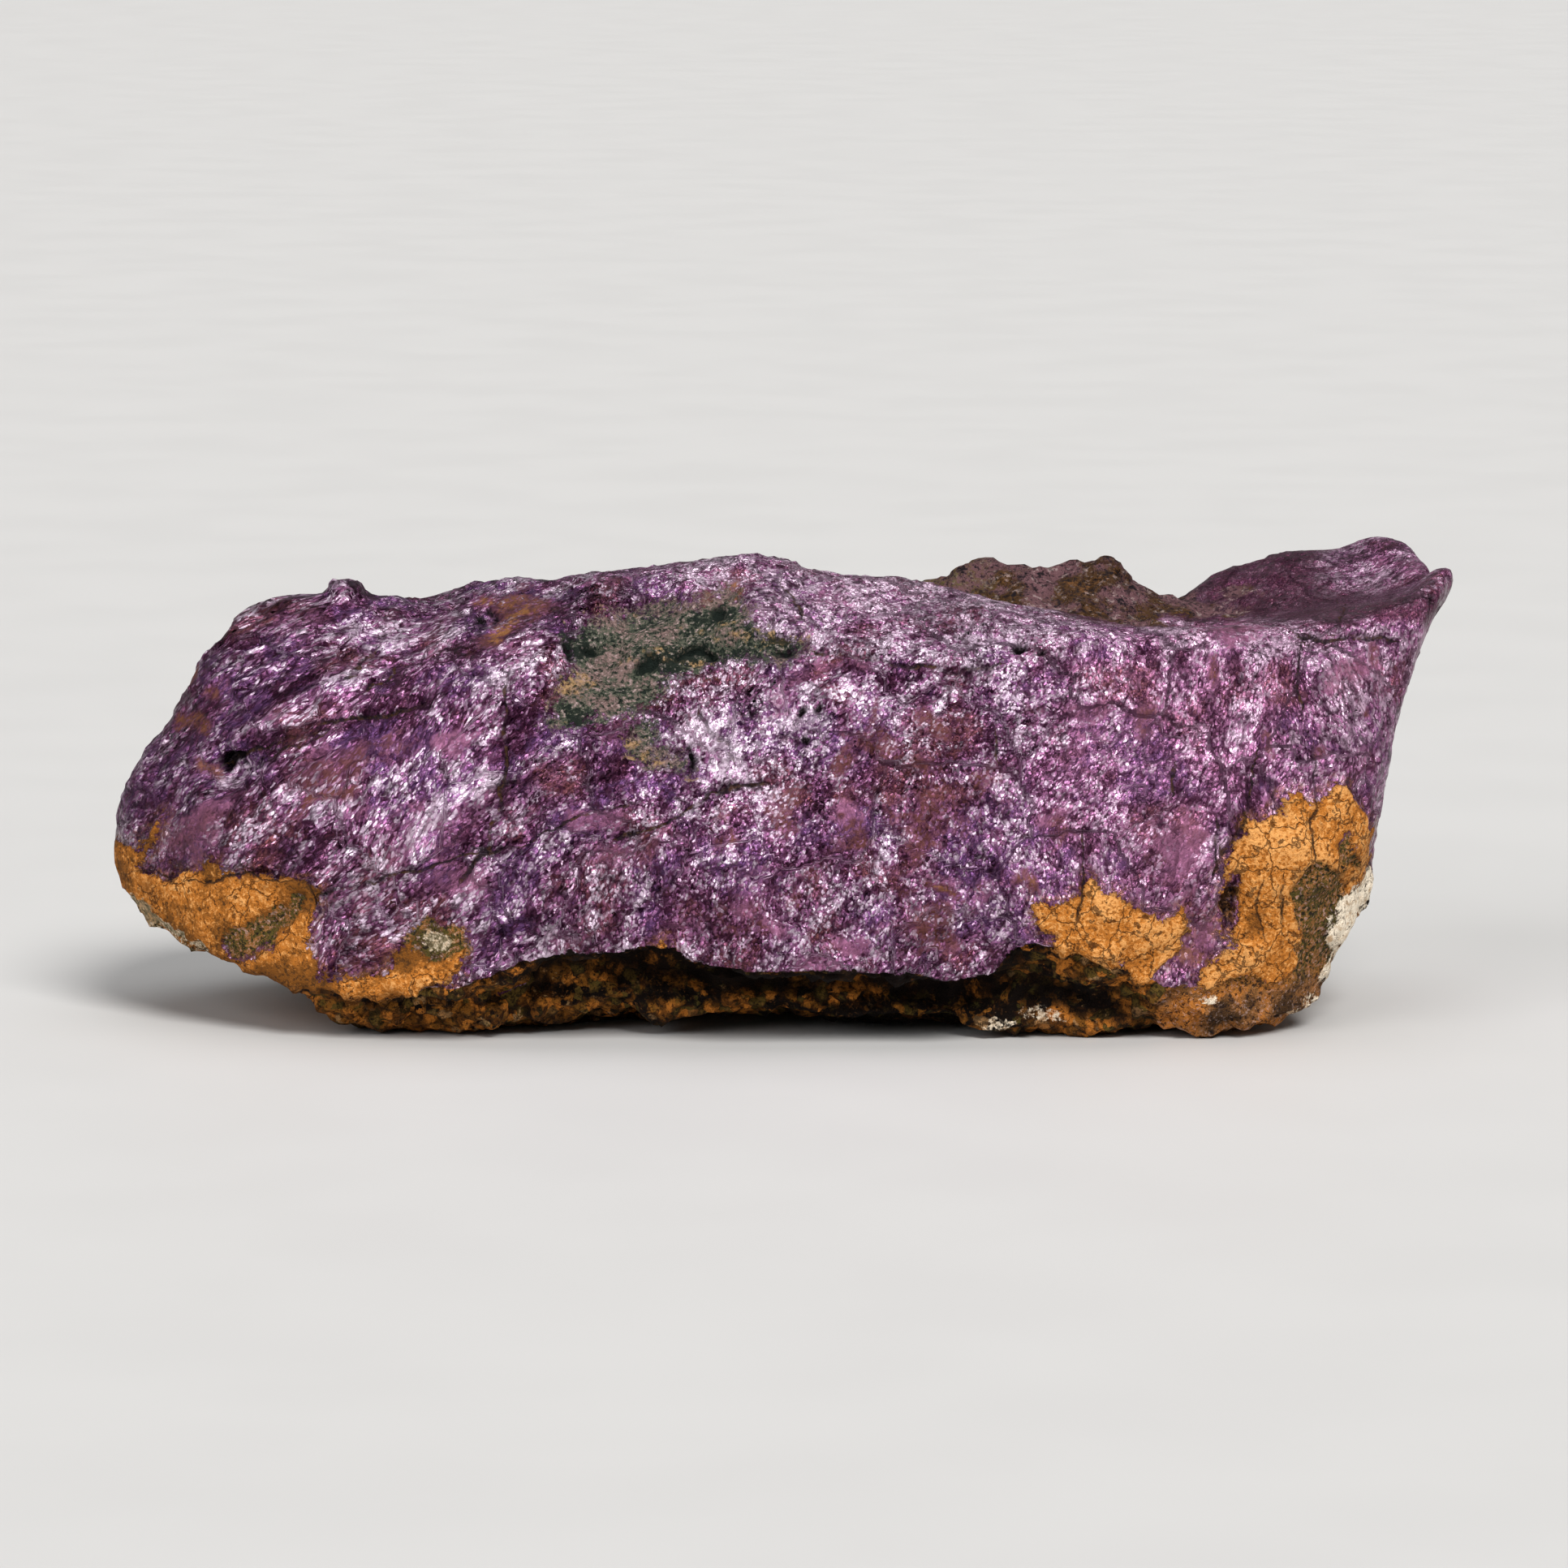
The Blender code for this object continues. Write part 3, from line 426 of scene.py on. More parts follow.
class Surface:
    """What grows where on the stone. Points are arrays in mm."""

    # What is stored at each point for the material
    STORED = (
        "rust", "brown", "cream", "green", "knob", "soil", "film", "stain",
        "dark", "flow", "glitter", "hue", "patina", "seams", "dull", "shadow",
        "ochre", "olive", "crack", "split", "bright", "calm", "worn", "lean",
    )

    def __init__(self, points, normals):
        self.p = points
        self.n = normals
        self.front = ease(normals @ FRONT, -0.35, -0.12)
        self.behind = 1 - self.front
        self.faces_camera = self.front > 0.5
        self.seen = seen_from_front(points)
        self.frayed = shifted(self.seen, points, 1.1, (5, 6), 4, 0.42)
        self.drawn = shifted(self.frayed, points, 2.2, (62, 63), 3, 0.9)
        self.lumps = noise(points, 1.7, 69, 4)
        self.zones()
        self.films()
        self.tones()
        self.grains()

    def zones(self):
        """Distances in mm into each kind of surface, below 0 outside it."""
        p, front, behind = self.p, self.front, self.behind
        z = p[:, 2]
        low = ease(9.0 - z, -3.0, 9.0)
        high = 7.0 * ease(z, 18.0, 22.0)
        torn = noise(p, 1.2, 23, 5)
        far_rust = noise(p, 7.0, 21, 4) * 4.5 + low * 3.0 - 2.3 - high + torn * 0.8
        self.rust = np.minimum(within_any(self.frayed, RUST), -within_any(self.frayed, BREAKS)) * front
        self.rust += far_rust * behind
        far_brown = noise(p, 5.0, 31, 4) * 4.0 - 1.9 + low - high
        self.brown = (within_any(self.frayed, BROWN_CRUST) + 0.3) * front + far_brown * behind
        far_cream = noise(p, 6.0, 41, 5) * 4.5 - 4.6 + low * 2.9 + torn * 1.3
        self.cream = within_any(self.frayed, CREAM) * front + far_cream * behind
        far_green = noise(p, 6.5, 51, 4) * 4.0 - 2.6
        self.green = np.where(self.faces_camera, within_any(self.frayed, GREEN), OUTSIDE)
        self.green = np.maximum(self.green, far_green * behind + OUTSIDE * front)
        from_knob = in_oval(p[:, :2], *BACK_KNOB) + noise(p, 2.5, 44) * 0.35
        raised = ease(z, 18.5, 20.5) * ease(p[:, 1], -3.0, 1.0)
        self.knob = (1 - from_knob) * 4.0 * raised + OUTSIDE * (1 - raised)
        self.below = np.interp(self.seen[:, 0], *np.array(LIP).T) - self.seen[:, 1]
        self.below += np.maximum(noise(p, 1.0, 64, 4), 0.0) * 0.55 + noise(p, 1.2, 65, 3) * 0.10
        under = ease(-self.n[:, 2], 0.25, 0.6)
        hidden = (under * 3.0 - 1.2) * (1 - 0.2 * front) - 4.0 * ease(z, 9.0, 13.0)
        self.soil = np.maximum(np.where(self.faces_camera, self.below, OUTSIDE), hidden)

    def films(self):
        """Shares of matte film on the cleavage and of brown stain in it."""
        p = self.p
        broken = 0.70 + 0.9 * noise(p, 2.0, 67, 5)
        rusty = ease(noise(p, 1.8, 200, 5), 0.12, 0.52) * ease(within(self.seen, RUSTY), -1.5, 1.5)
        film, stain = np.maximum(rusty * 0.65 * broken, 0.0), rusty * 0.75
        for place, half_long, half_high, turn, brown in FILMS:
            share = 1 - ease(in_oval(self.drawn, place, half_long, half_high, turn), 0.35, 1.35)
            film = np.maximum(film, share * (broken + 0.5 * (brown >= 0.8)))
            stain = np.maximum(stain, share * brown)
        loose = ease(noise(p, 3.2, 61, 3), 0.18, 0.5)
        self.film = np.where(self.faces_camera, np.maximum(film, loose * 0.35 * broken), loose * 0.8 * broken)
        self.stain = np.where(self.faces_camera, stain, ease(noise(p, 4.0, 66, 3), 0.15, 0.6))

    def tones(self):
        """Shares that vary the colours from place to place."""
        p, front, behind, below = self.p, self.front, self.behind, self.below
        across, up = self.frayed.T
        self.hue = noise(p, 2.6, 68, 4) * 0.5 + 0.5
        self.seams = noise(p * (0.45, 1.0, 1.6), 1.9, 60, 5) * 0.5 + 0.5
        self.patina = self.lumps * 0.5 + 0.5 + np.interp(self.seen[:, 0], *PALE_RUST) * (self.rust > -0.5)
        for place, half_long, half_high in GREEN_SHADES:
            share = 1 - ease(in_oval(self.drawn, place, half_long, half_high), 0.5, 1.3)
            self.patina -= 0.35 * share * (self.green > -0.5) * front
        self.bright = np.where(self.faces_camera, ease(within_any(self.frayed, BRIGHT), -0.6, 0.6), 0.0)
        self.ridge = ease(up, 22.5, 23.5) * ease(across, 15.0, 19.0) * front
        horn = ease(across, 31.0, 34.0) * ease(up, 24.0, 26.0)
        # Painted shade: the cleavage is painted darker at both ends and on the ridge behind the top edge, and
        # duller on all back-facing surfaces.
        shaded_ends = 0.36 * ease(-across, 31.0, 37.0) + 0.04 * ease(across, 33.5, 36.5)
        self.dull = np.max([shaded_ends * front, self.ridge * (1 - horn), 0.40 * behind], axis=0)
        edge = 0.5 * ease(up, 20.0, 23.5) * ease(across, -10.0, -2.0)
        self.calm = np.maximum(ease(across, 8.0, 24.0), edge) * front
        # Painted shadow: black laid on the soil just under the lip, and in a lower band at the right, where the
        # overhang shades it.
        shadow = (1 - ease(below, 0.8, 1.8)) * span(across, -16.5, -14.0, 12.5, 15.5)
        shadow += 0.85 * span(below, 0.9, 1.7, 2.4, 3.2) * span(across, 12.5, 15.5, 20.0, 24.0)
        self.shadow = np.where(self.faces_camera, shadow, 0.0)
        self.ochre = np.interp(across, *OCHRE) * front + 0.5 * behind
        self.worn = (1 - ease(across, 0.0, 20.0)) * front + 0.8 * behind
        self.olive = 1 - ease(p[:, 0] + noise(p, 1.5, 70) * 1.5, 10.0, 13.5)

    def grains(self):
        """The grains that the cleavage is broken into: each has a run and a lean of its own."""
        p = self.p
        across, up = self.seen.T
        first, second, middle, own = cells(shifted(p, p, 3.0, (71, 72, 73), 3, 0.9), 6.0, 81)
        place = np.clip((middle[:, 0] + RUN_REACH) / (2 * RUN_REACH), 0, 1)
        run = np.radians(RUN_LEFT + (RUN_RIGHT - RUN_LEFT) * place + (own[:, 0] - 0.5) * RUN_SPREAD)
        along, beside = turned(p[:, 0], p[:, 2], run)
        self.flow = np.column_stack([along * np.interp(middle[:, 0], *SLENDER), beside, p[:, 1]])
        along, beside = turned(p[:, 0], p[:, 2], math.radians(BAND_RUN))
        bands = noise(np.column_stack([along * 0.15, beside, p[:, 1] * 0.6]), 1.0, 74, 3)
        self.bands = bands * ease(-p[:, 0], 7.0, 17.0) * self.front
        patches = noise(self.flow * (0.45, 1.0, 1.0), 1.5, 64, 5)
        share = np.interp(across, *PAINTED_GLITTER) * self.front + 0.35 * self.behind
        # Painted light: the top band faces up to the light and is painted paler.
        share += 0.46 * ease(up, 19.5, 23.0) * ease(across, -10.0, -2.0) * (1 - self.ridge)
        share -= 0.18 * ease(up, 13.0, 17.0) * ease(-across, 16.0, 21.0)
        share += (0.40 + 0.25 * ease(up, 18.5, 22.0) * self.front) * patches
        # Paler on the bright bands and the bright plates, a painted sheen, and darker under the film.
        share += 0.42 * self.bands + 0.42 * self.bright - 0.30 * self.film
        self.glitter = np.clip(share, 0, 1)
        self.grain_gap = second - first
        self.lean = own - 0.5
        self.grain_offset = p - middle

    def purple(self):
        """Share of bare cleavage."""
        crust = np.max([self.rust, self.brown, self.cream, self.green, self.soil, self.knob], axis=0)
        return 1 - ease(crust, -0.25, 0.15)

    def plates(self, shift, size, seed):
        """How far each point is along its own plate's lean, and how high the plate is, -0.5 to 0.5."""
        _, _, middle, own = cells(self.flow + shift, size, seed)
        return np.sum((self.flow - middle) * (own - 0.5), axis=1), own[:, 2] - 0.5

    def relief(self, steps, ripples, crust_height, roughness):
        """How far each point moves out along its normal, in mm."""
        worn_end = ease(self.p[:, 0], 33.0, 37.0) + ease(-self.p[:, 0], 33.0, 37.5)
        worn_top = 0.25 * ease(self.p[:, 2], 21.0, 24.0)
        bare = self.purple() * (1 - worn_top) * (1 - 0.5 * worn_end) * (1 - 0.7 * self.ridge)
        out = self.cleavage_relief(bare, steps, ripples) + self.crust_relief(crust_height)
        hump = 1 - ease(in_oval(self.seen, *HUMP), 0.3, 1.0)
        out -= hump * (HUMP_DROP - HUMP_KNOB_RISE * (1 - ease(in_oval(self.seen, *HUMP_KNOB), 0.35, 1.0)))
        return out - self.hollows(bare) + noise(self.p, 0.55, 191, 2) * roughness

    def cleavage_relief(self, bare, steps, ripples):
        crisp = bare * (1 - 0.75 * self.film)
        # Grains that lean their own way
        tilt = np.sum(self.grain_offset * self.lean, axis=1) * GRAIN_STEP
        out = steps * (np.clip(tilt, -0.2, 0.2) + self.lean[:, 1] * GRAIN_STEP) * crisp
        # Chips on each grain, longer along its run, and broader plates
        tilt, level = self.plates(0.0, 0.85, 91)
        out += steps * crisp * (tilt * CHIP_TILT + level * CHIP_STEP)
        tilt, level = self.plates(9.0, 2.1, 95)
        out += steps * bare * (np.clip(tilt, -0.6, 0.6) * PLATE_TILT + level * PLATE_STEP)
        # Ripples along the run, least in the middle of the stone
        ridges = 1 - 2 * np.abs(noise(self.flow * (0.5, 1.0, 1.0), 0.9, 101, 2))
        strength = 0.45 + 0.55 * np.abs(np.clip(self.p[:, 0] / 22.0, -1, 1))
        out += ripples * crisp * (ridges * strength * RIPPLE + self.bands * BAND)
        # Thin plates of cleavage left standing
        return out + crisp * self.bright * BRIGHT_STEP

    def crust_relief(self, crust_height):
        p = self.p
        soft = 1 - 0.65 * np.maximum(ease(-p[:, 0], 26.0, 32.0), ease(p[:, 0], 29.0, 33.0)) * self.front
        rust = ease(self.rust, -0.12, 0.16) * (1 - ease(self.cream, -0.1, 0.2))
        out = rust * (crust_height + self.lumps * RUST_LUMPS * soft)
        brown = ease(self.brown, -0.2, 0.2) * (1 - ease(self.cream, -0.6, 0.2))
        out += brown * (noise(p, 1.1, 121, 3) * BROWN_LUMPS * soft - BROWN_DROP)
        # Beads of the cream matrix, and the smooth shelf that it forms at the right corner
        beads = (0.5 - cells(p, 1.3, 131)[0]) * CREAM_BEADS + noise(p, 0.7, 132, 2) * CREAM_LUMPS
        beaded = 1 - 0.95 * ease(self.seen[:, 0], 30.0, 32.0) * self.front
        out += ease(self.cream, -0.2, 0.2) * beads * beaded * soft
        out += ease(self.cream, -0.5, 1.0) * (1 - beaded) * CREAM_SHELF
        out -= ease(self.green, -0.5, 0.6) * (GREEN_DROP + noise(p, 1.5, 141, 3) * GREEN_LUMPS)
        out += ease(self.knob, -0.6, 0.8) * (noise(p, 2.0, 151, 5) * KNOB_LUMPS - KNOB_DROP)
        earth = noise(p, 2.4, 161, 3) * SOIL_LUMPS + noise(p, 0.9, 162, 4) * SOIL_GRIT
        out += ease(self.soil, -0.1, 0.5) * earth * soft
        return out - SHADOW_DROP * self.shadow * ease(self.soil, 0.1, 0.6)

    def hollows(self, bare):
        """How deep the cracks, pits and gaps are, in mm. It also keeps how dark they are, how far each point is
        beside the nearest crack, and half that crack's width."""
        p, front = self.p, self.front
        out, self.dark = np.zeros(len(p)), np.zeros(len(p))
        nearest, self.crack, self.split = np.full(len(p), FAR), np.ones(len(p)), np.zeros(len(p))
        wander = shifted(self.seen, p, 1.4, (171, 172), 4, 0.30)
        uneven = ease(noise(p, 1.5, 173, 3), 0.0, 0.6) * 0.45
        for width, depth, line in CRACKS:
            beside = beside_line(wander, line)
            away = np.abs(beside)
            out += depth * 0.45 * (1 - ease(away + width * uneven, width * 0.2, width * 0.9)) * front
            self.dark = np.maximum(self.dark, 0.25 * (1 - ease(away, width * 0.3, width * 1.3)) * front)
            reach = (1 - ease(away, 0.35, 0.75)) * (width * 0.42 * (1 - uneven))
            self.crack = np.where(away < nearest, beside, self.crack)
            self.split = np.where(away < nearest, reach * front, self.split)
            nearest = np.minimum(nearest, away)
        wander = shifted(wander, p, 0.7, (174, 175), 2, 0.30)
        for place, half_long, half_high, depth in PITS:
            away = in_oval(wander, place, half_long, half_high)
            out += depth * 0.8 * (1 - ease(away, 0.3, 1.2)) * front
            self.dark = np.maximum(self.dark, (1 - ease(away, 0.6, 1.15)) * front)
        gap = (1 - ease(self.grain_gap, 0.015, 0.05)) * ease(noise(p, 2.5, 181), 0.1, 0.5) * (1 - self.film)
        self.dark = np.maximum(self.dark, gap * 0.35)
        return out + GRAIN_GAP * gap * bare


def select_only(item):
    """Selects one object and makes it the active one."""
    bpy.ops.object.select_all(action="DESELECT")
    item.hide_set(False)
    item.select_set(True)
    bpy.context.view_layer.objects.active = item


def copy_of_solid(name):
    """A joined-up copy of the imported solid, whose faces are loose there."""
    select_only(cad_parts[NODE])
    bpy.ops.object.duplicate()
    stone = bpy.context.view_layer.objects.active
    stone.name = stone.data.name = name
    stone.data.materials.clear()
    bpy.ops.object.mode_set(mode="EDIT")
    bpy.ops.mesh.select_all(action="SELECT")
    bpy.ops.mesh.remove_doubles(threshold=1e-6)
    bpy.ops.object.mode_set(mode="OBJECT")
    return stone


def apply_modifier(item, kind, **values):
    """Adds a modifier with these settings and applies it."""
    modifier = item.modifiers.new(kind.lower(), kind)
    for key, value in values.items():
        setattr(modifier, key, value)
    select_only(item)
    bpy.ops.object.modifier_apply(modifier=modifier.name)


def even_skin(stone, pitch):
    """Rounds the facets off and lays an even net of small faces over them."""
    apply_modifier(stone, "SUBSURF", levels=2, render_levels=2)
    apply_modifier(stone, "REMESH", mode="VOXEL", voxel_size=pitch, use_smooth_shade=True)
    apply_modifier(stone, "SMOOTH", factor=0.5, iterations=8)


def read_rows(items, field):
    """One vector for each item of a mesh."""
    values = np.empty(len(items) * 3, np.float32)
    items.foreach_get(field, values)
    return values.reshape(-1, 3)


def refine_front(stone):
    """Splits the faces of the good face and of its upper edge once more."""
    mesh = stone.data
    select_only(stone)
    bpy.ops.object.mode_set(mode="EDIT")
    bpy.ops.mesh.select_mode(type="FACE")
    bpy.ops.mesh.select_all(action="DESELECT")
    bpy.ops.object.mode_set(mode="OBJECT")
    facing = read_rows(mesh.polygons, "normal") @ FRONT > SPLIT_FACING
    above = read_rows(mesh.polygons, "center")[:, 2] / MM > SPLIT_ABOVE
    mesh.polygons.foreach_set("select", facing & above)
    bpy.ops.object.mode_set(mode="EDIT")
    bpy.ops.mesh.subdivide(number_cuts=1, quadcorner="STRAIGHT_CUT")
    bpy.ops.object.mode_set(mode="OBJECT")
    apply_modifier(stone, "SMOOTH", factor=0.5, iterations=2)


def write_points(mesh, points):
    """Sets the points, in mm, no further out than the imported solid's box."""
    inside = np.clip(points, LOW + BOX_GAP, HIGH - BOX_GAP)
    mesh.vertices.foreach_set("co", (inside * MM).astype(np.float32).ravel())
    mesh.update()


def keep_surface(mesh, surface):
    """Stores one number, or three, of each kind at each point for the material to read."""
    for name in surface.STORED:
        values = getattr(surface, name)
        kind, field = ("FLOAT", "value") if values.ndim == 1 else ("FLOAT_VECTOR", "vector")
        attribute = mesh.attributes.new(name, kind, "POINT")
        attribute.data.foreach_set(field, values.astype(np.float32).ravel())


# Materials


class Nodes:
    """Places nodes in a tree and joins them, so that a recipe reads from top to bottom."""

    def __init__(self, tree):
        self.tree = tree
        self.column = 0

    def add(self, kind, inputs=None, **settings):
        """A node with these settings. Each input is a socket to join or a value."""
        node = self.tree.nodes.new(kind)
        node.location = (self.column * 190, -160 * (self.column % 5))
        self.column += 1
        for key, value in settings.items():
            setattr(node, key, value)
        for key, value in (inputs or {}).items():
            if isinstance(value, bpy.types.NodeSocket):
                self.tree.links.new(value, node.inputs[key])
            else:
                node.inputs[key].default_value = value
        return node

    def math(self, operation, a, b=0.0, c=0.0):
        return self.add("ShaderNodeMath", {0: a, 1: b, 2: c}, operation=operation).outputs[0]

    def times(self, *values):
        """The values multiplied."""
        return functools.reduce(functools.partial(self.math, "MULTIPLY"), values)

    def most(self, *values):
        """The largest of the values."""
        return functools.reduce(functools.partial(self.math, "MAXIMUM"), values)

    def rest(self, value):
        """What the value leaves of 1."""
        return self.math("SUBTRACT", 1.0, value)

    def plus(self, value, *product):
        """The value and the product of two others."""
        return self.math("MULTIPLY_ADD", *product, value)

    def vector(self, operation, a, b=(0.0, 0.0, 0.0)):
        return self.add("ShaderNodeVectorMath", {0: a, 1: b}, operation=operation).outputs[0]

    def scaled(self, vector, scale):
        return self.add("ShaderNodeVectorMath", {0: vector, 3: scale}, operation="SCALE").outputs[0]

    def parts(self, vector):
        return self.add("ShaderNodeSeparateXYZ", {0: vector}).outputs

    def between(self, value, low, high, start=0.0, end=1.0):
        """start where value is low, end where it's high, smooth between them."""
        inputs = {"Value": value, "From Min": low, "From Max": high, "To Min": start, "To Max": end}
        return self.add("ShaderNodeMapRange", inputs, interpolation_type="SMOOTHSTEP").outputs[0]

    def over(self, below, *layers):
        """Colours laid over each other. Each layer is a colour and the shares that let it show, multiplied."""
        for colour, *shares in layers:
            inputs = {0: self.times(*shares), 6: with_alpha(below), 7: with_alpha(colour)}
            below = self.add("ShaderNodeMix", inputs, data_type="RGBA").outputs[2]
        return below

    def blend(self, share, a, b):
        return self.add("ShaderNodeMix", {0: share, 2: a, 3: b}, data_type="FLOAT").outputs[0]

    def noise(self, vector, scale, detail, roughness=0.5, output="Fac"):
        inputs = {"Vector": vector, "Scale": scale, "Detail": detail, "Roughness": roughness}
        return self.add("ShaderNodeTexNoise", inputs).outputs[output]

    def bent(self, vector, scale, detail, reach):
        """Places bent by a noise."""
        return self.vector("ADD", vector, self.scaled(self.noise(vector, scale, detail, output="Color"), reach))

    def cells(self, vector, scale, feature="F1"):
        return self.add("ShaderNodeTexVoronoi", {"Vector": vector, "Scale": scale}, feature=feature).outputs

    def stored(self, name, output="Fac"):
        """What is stored at each point under this name."""
        return self.add("ShaderNodeAttribute", attribute_name=name).outputs[output]

    def group(self, tree, **inputs):
        named = {key.capitalize(): value for key, value in inputs.items()}
        return self.add("ShaderNodeGroup", named, node_tree=tree).outputs


def with_alpha(colour):
    """A socket as it is, or a colour's three numbers with a fourth."""
    return colour if isinstance(colour, bpy.types.NodeSocket) else (*colour, 1.0)


def new_group(name, inputs, outputs):
    """An empty node group: its tree, its Nodes and what it's given.

    A socket is a vector if its default is None, else a number.
    """
    tree = bpy.data.node_groups.new(name, "ShaderNodeTree")
    for way, sockets in (("INPUT", inputs), ("OUTPUT", outputs)):
        for label, default in sockets.items():
            kind = "NodeSocketVector" if default is None else "NodeSocketFloat"
            socket = tree.interface.new_socket(label, in_out=way, socket_type=kind)
            if default is not None:
                socket.default_value = default
    n = Nodes(tree)
    return tree, n, n.add("NodeGroupInput").outputs


def ragged_edge_group():
    """A mask from a distance in mm to an edge, frayed by a noise around a half."""
    inputs = {"Distance": 0.0, "Noise": 0.5, "Fray": 0.3, "Width": 0.05}
    tree, n, given = new_group("Ragged edge", inputs, {"Mask": 0.0})
    moved = n.plus(given["Distance"], n.math("SUBTRACT", given["Noise"], 0.5), given["Fray"])
    n.add("NodeGroupOutput", {"Mask": n.between(moved, n.times(given["Width"], -1.0), given["Width"])})
    return tree


def flakes_group():
    """Small plates of cleavage: how each leans, two numbers of its own, and the gaps between them."""
    inputs = {"Vector": None, "Scale": 3.0, "Tilt": 0.5}
    outputs = {"Lean": None, "Shade": 0.0, "Shine": 0.0, "Gap": 0.0}
    tree, n, given = new_group("Cleavage flakes", inputs, outputs)
    plates = n.cells(given["Vector"], given["Scale"])
    lean = n.scaled(n.vector("SUBTRACT", plates["Color"], (0.5, 0.5, 0.5)), given["Tilt"])
    parts = n.parts(plates["Color"])
    shade = n.math("FRACT", n.times(parts[0], 7.31))
    shine = n.math("FRACT", n.times(parts[1], 5.77))
    gap = n.between(plates["Distance"], 0.42, 0.74)
    n.add("NodeGroupOutput", {"Lean": lean, "Shade": shade, "Shine": shine, "Gap": gap})
    return tree


def fine_cracks_group():
    """Thin broken lines between irregular patches, where the noise lets them show."""
    inputs = {"Vector": None, "Noise": 0.5, "Scale": 0.5, "Width": 0.03, "Share": 0.5}
    tree, n, given = new_group("Fine cracks", inputs, {"Crack": 0.0})
    edge = n.cells(n.bent(given["Vector"], 1.6, 3.0, 1.1), given["Scale"], "DISTANCE_TO_EDGE")["Distance"]
    line = n.rest(n.between(edge, 0.0, given["Width"]))
    broken = n.between(given["Noise"], given["Share"], n.math("ADD", given["Share"], 0.08))
    n.add("NodeGroupOutput", {"Crack": n.times(line, broken)})
    return tree


class StoneNodes(Nodes):
    """Nodes of the stone's material, with the colours, noises and stored numbers that its minerals share."""

    def __init__(self, tree, colours):
        super().__init__(tree)
        self.colours = colours
        self.grid = self.scaled(self.add("ShaderNodeTexCoord").outputs["Object"], 1.0 / MM)
        self.frays = self.noise(self.grid, 1.9, 4.0, 0.65)
        self.fine = self.noise(self.grid, 4.4, 3.0, 0.75)
        self.edging = self.blend(0.45, self.frays, self.fine)
        grit = self.parts(self.cells(self.grid, 5.5)["Color"])[0]
        self.grains = self.blend(0.5, grit, self.between(self.fine, 0.30, 0.70))
        self.blotches = self.noise(self.grid, 0.95, 3.0, 0.6)
        self.dark, self.patina, self.seams = (self.stored(name) for name in ("dark", "patina", "seams"))
        self.ragged, self.flakes, self.cracks = ragged_edge_group(), flakes_group(), fine_cracks_group()

    def mask(self, name, fray, width):
        """Where a zone is, from its stored distance, with an edge that the shared noise frays."""
        ragged = self.group(self.ragged, distance=self.stored(name), noise=self.edging, fray=fray, width=width)
        return ragged["Mask"]


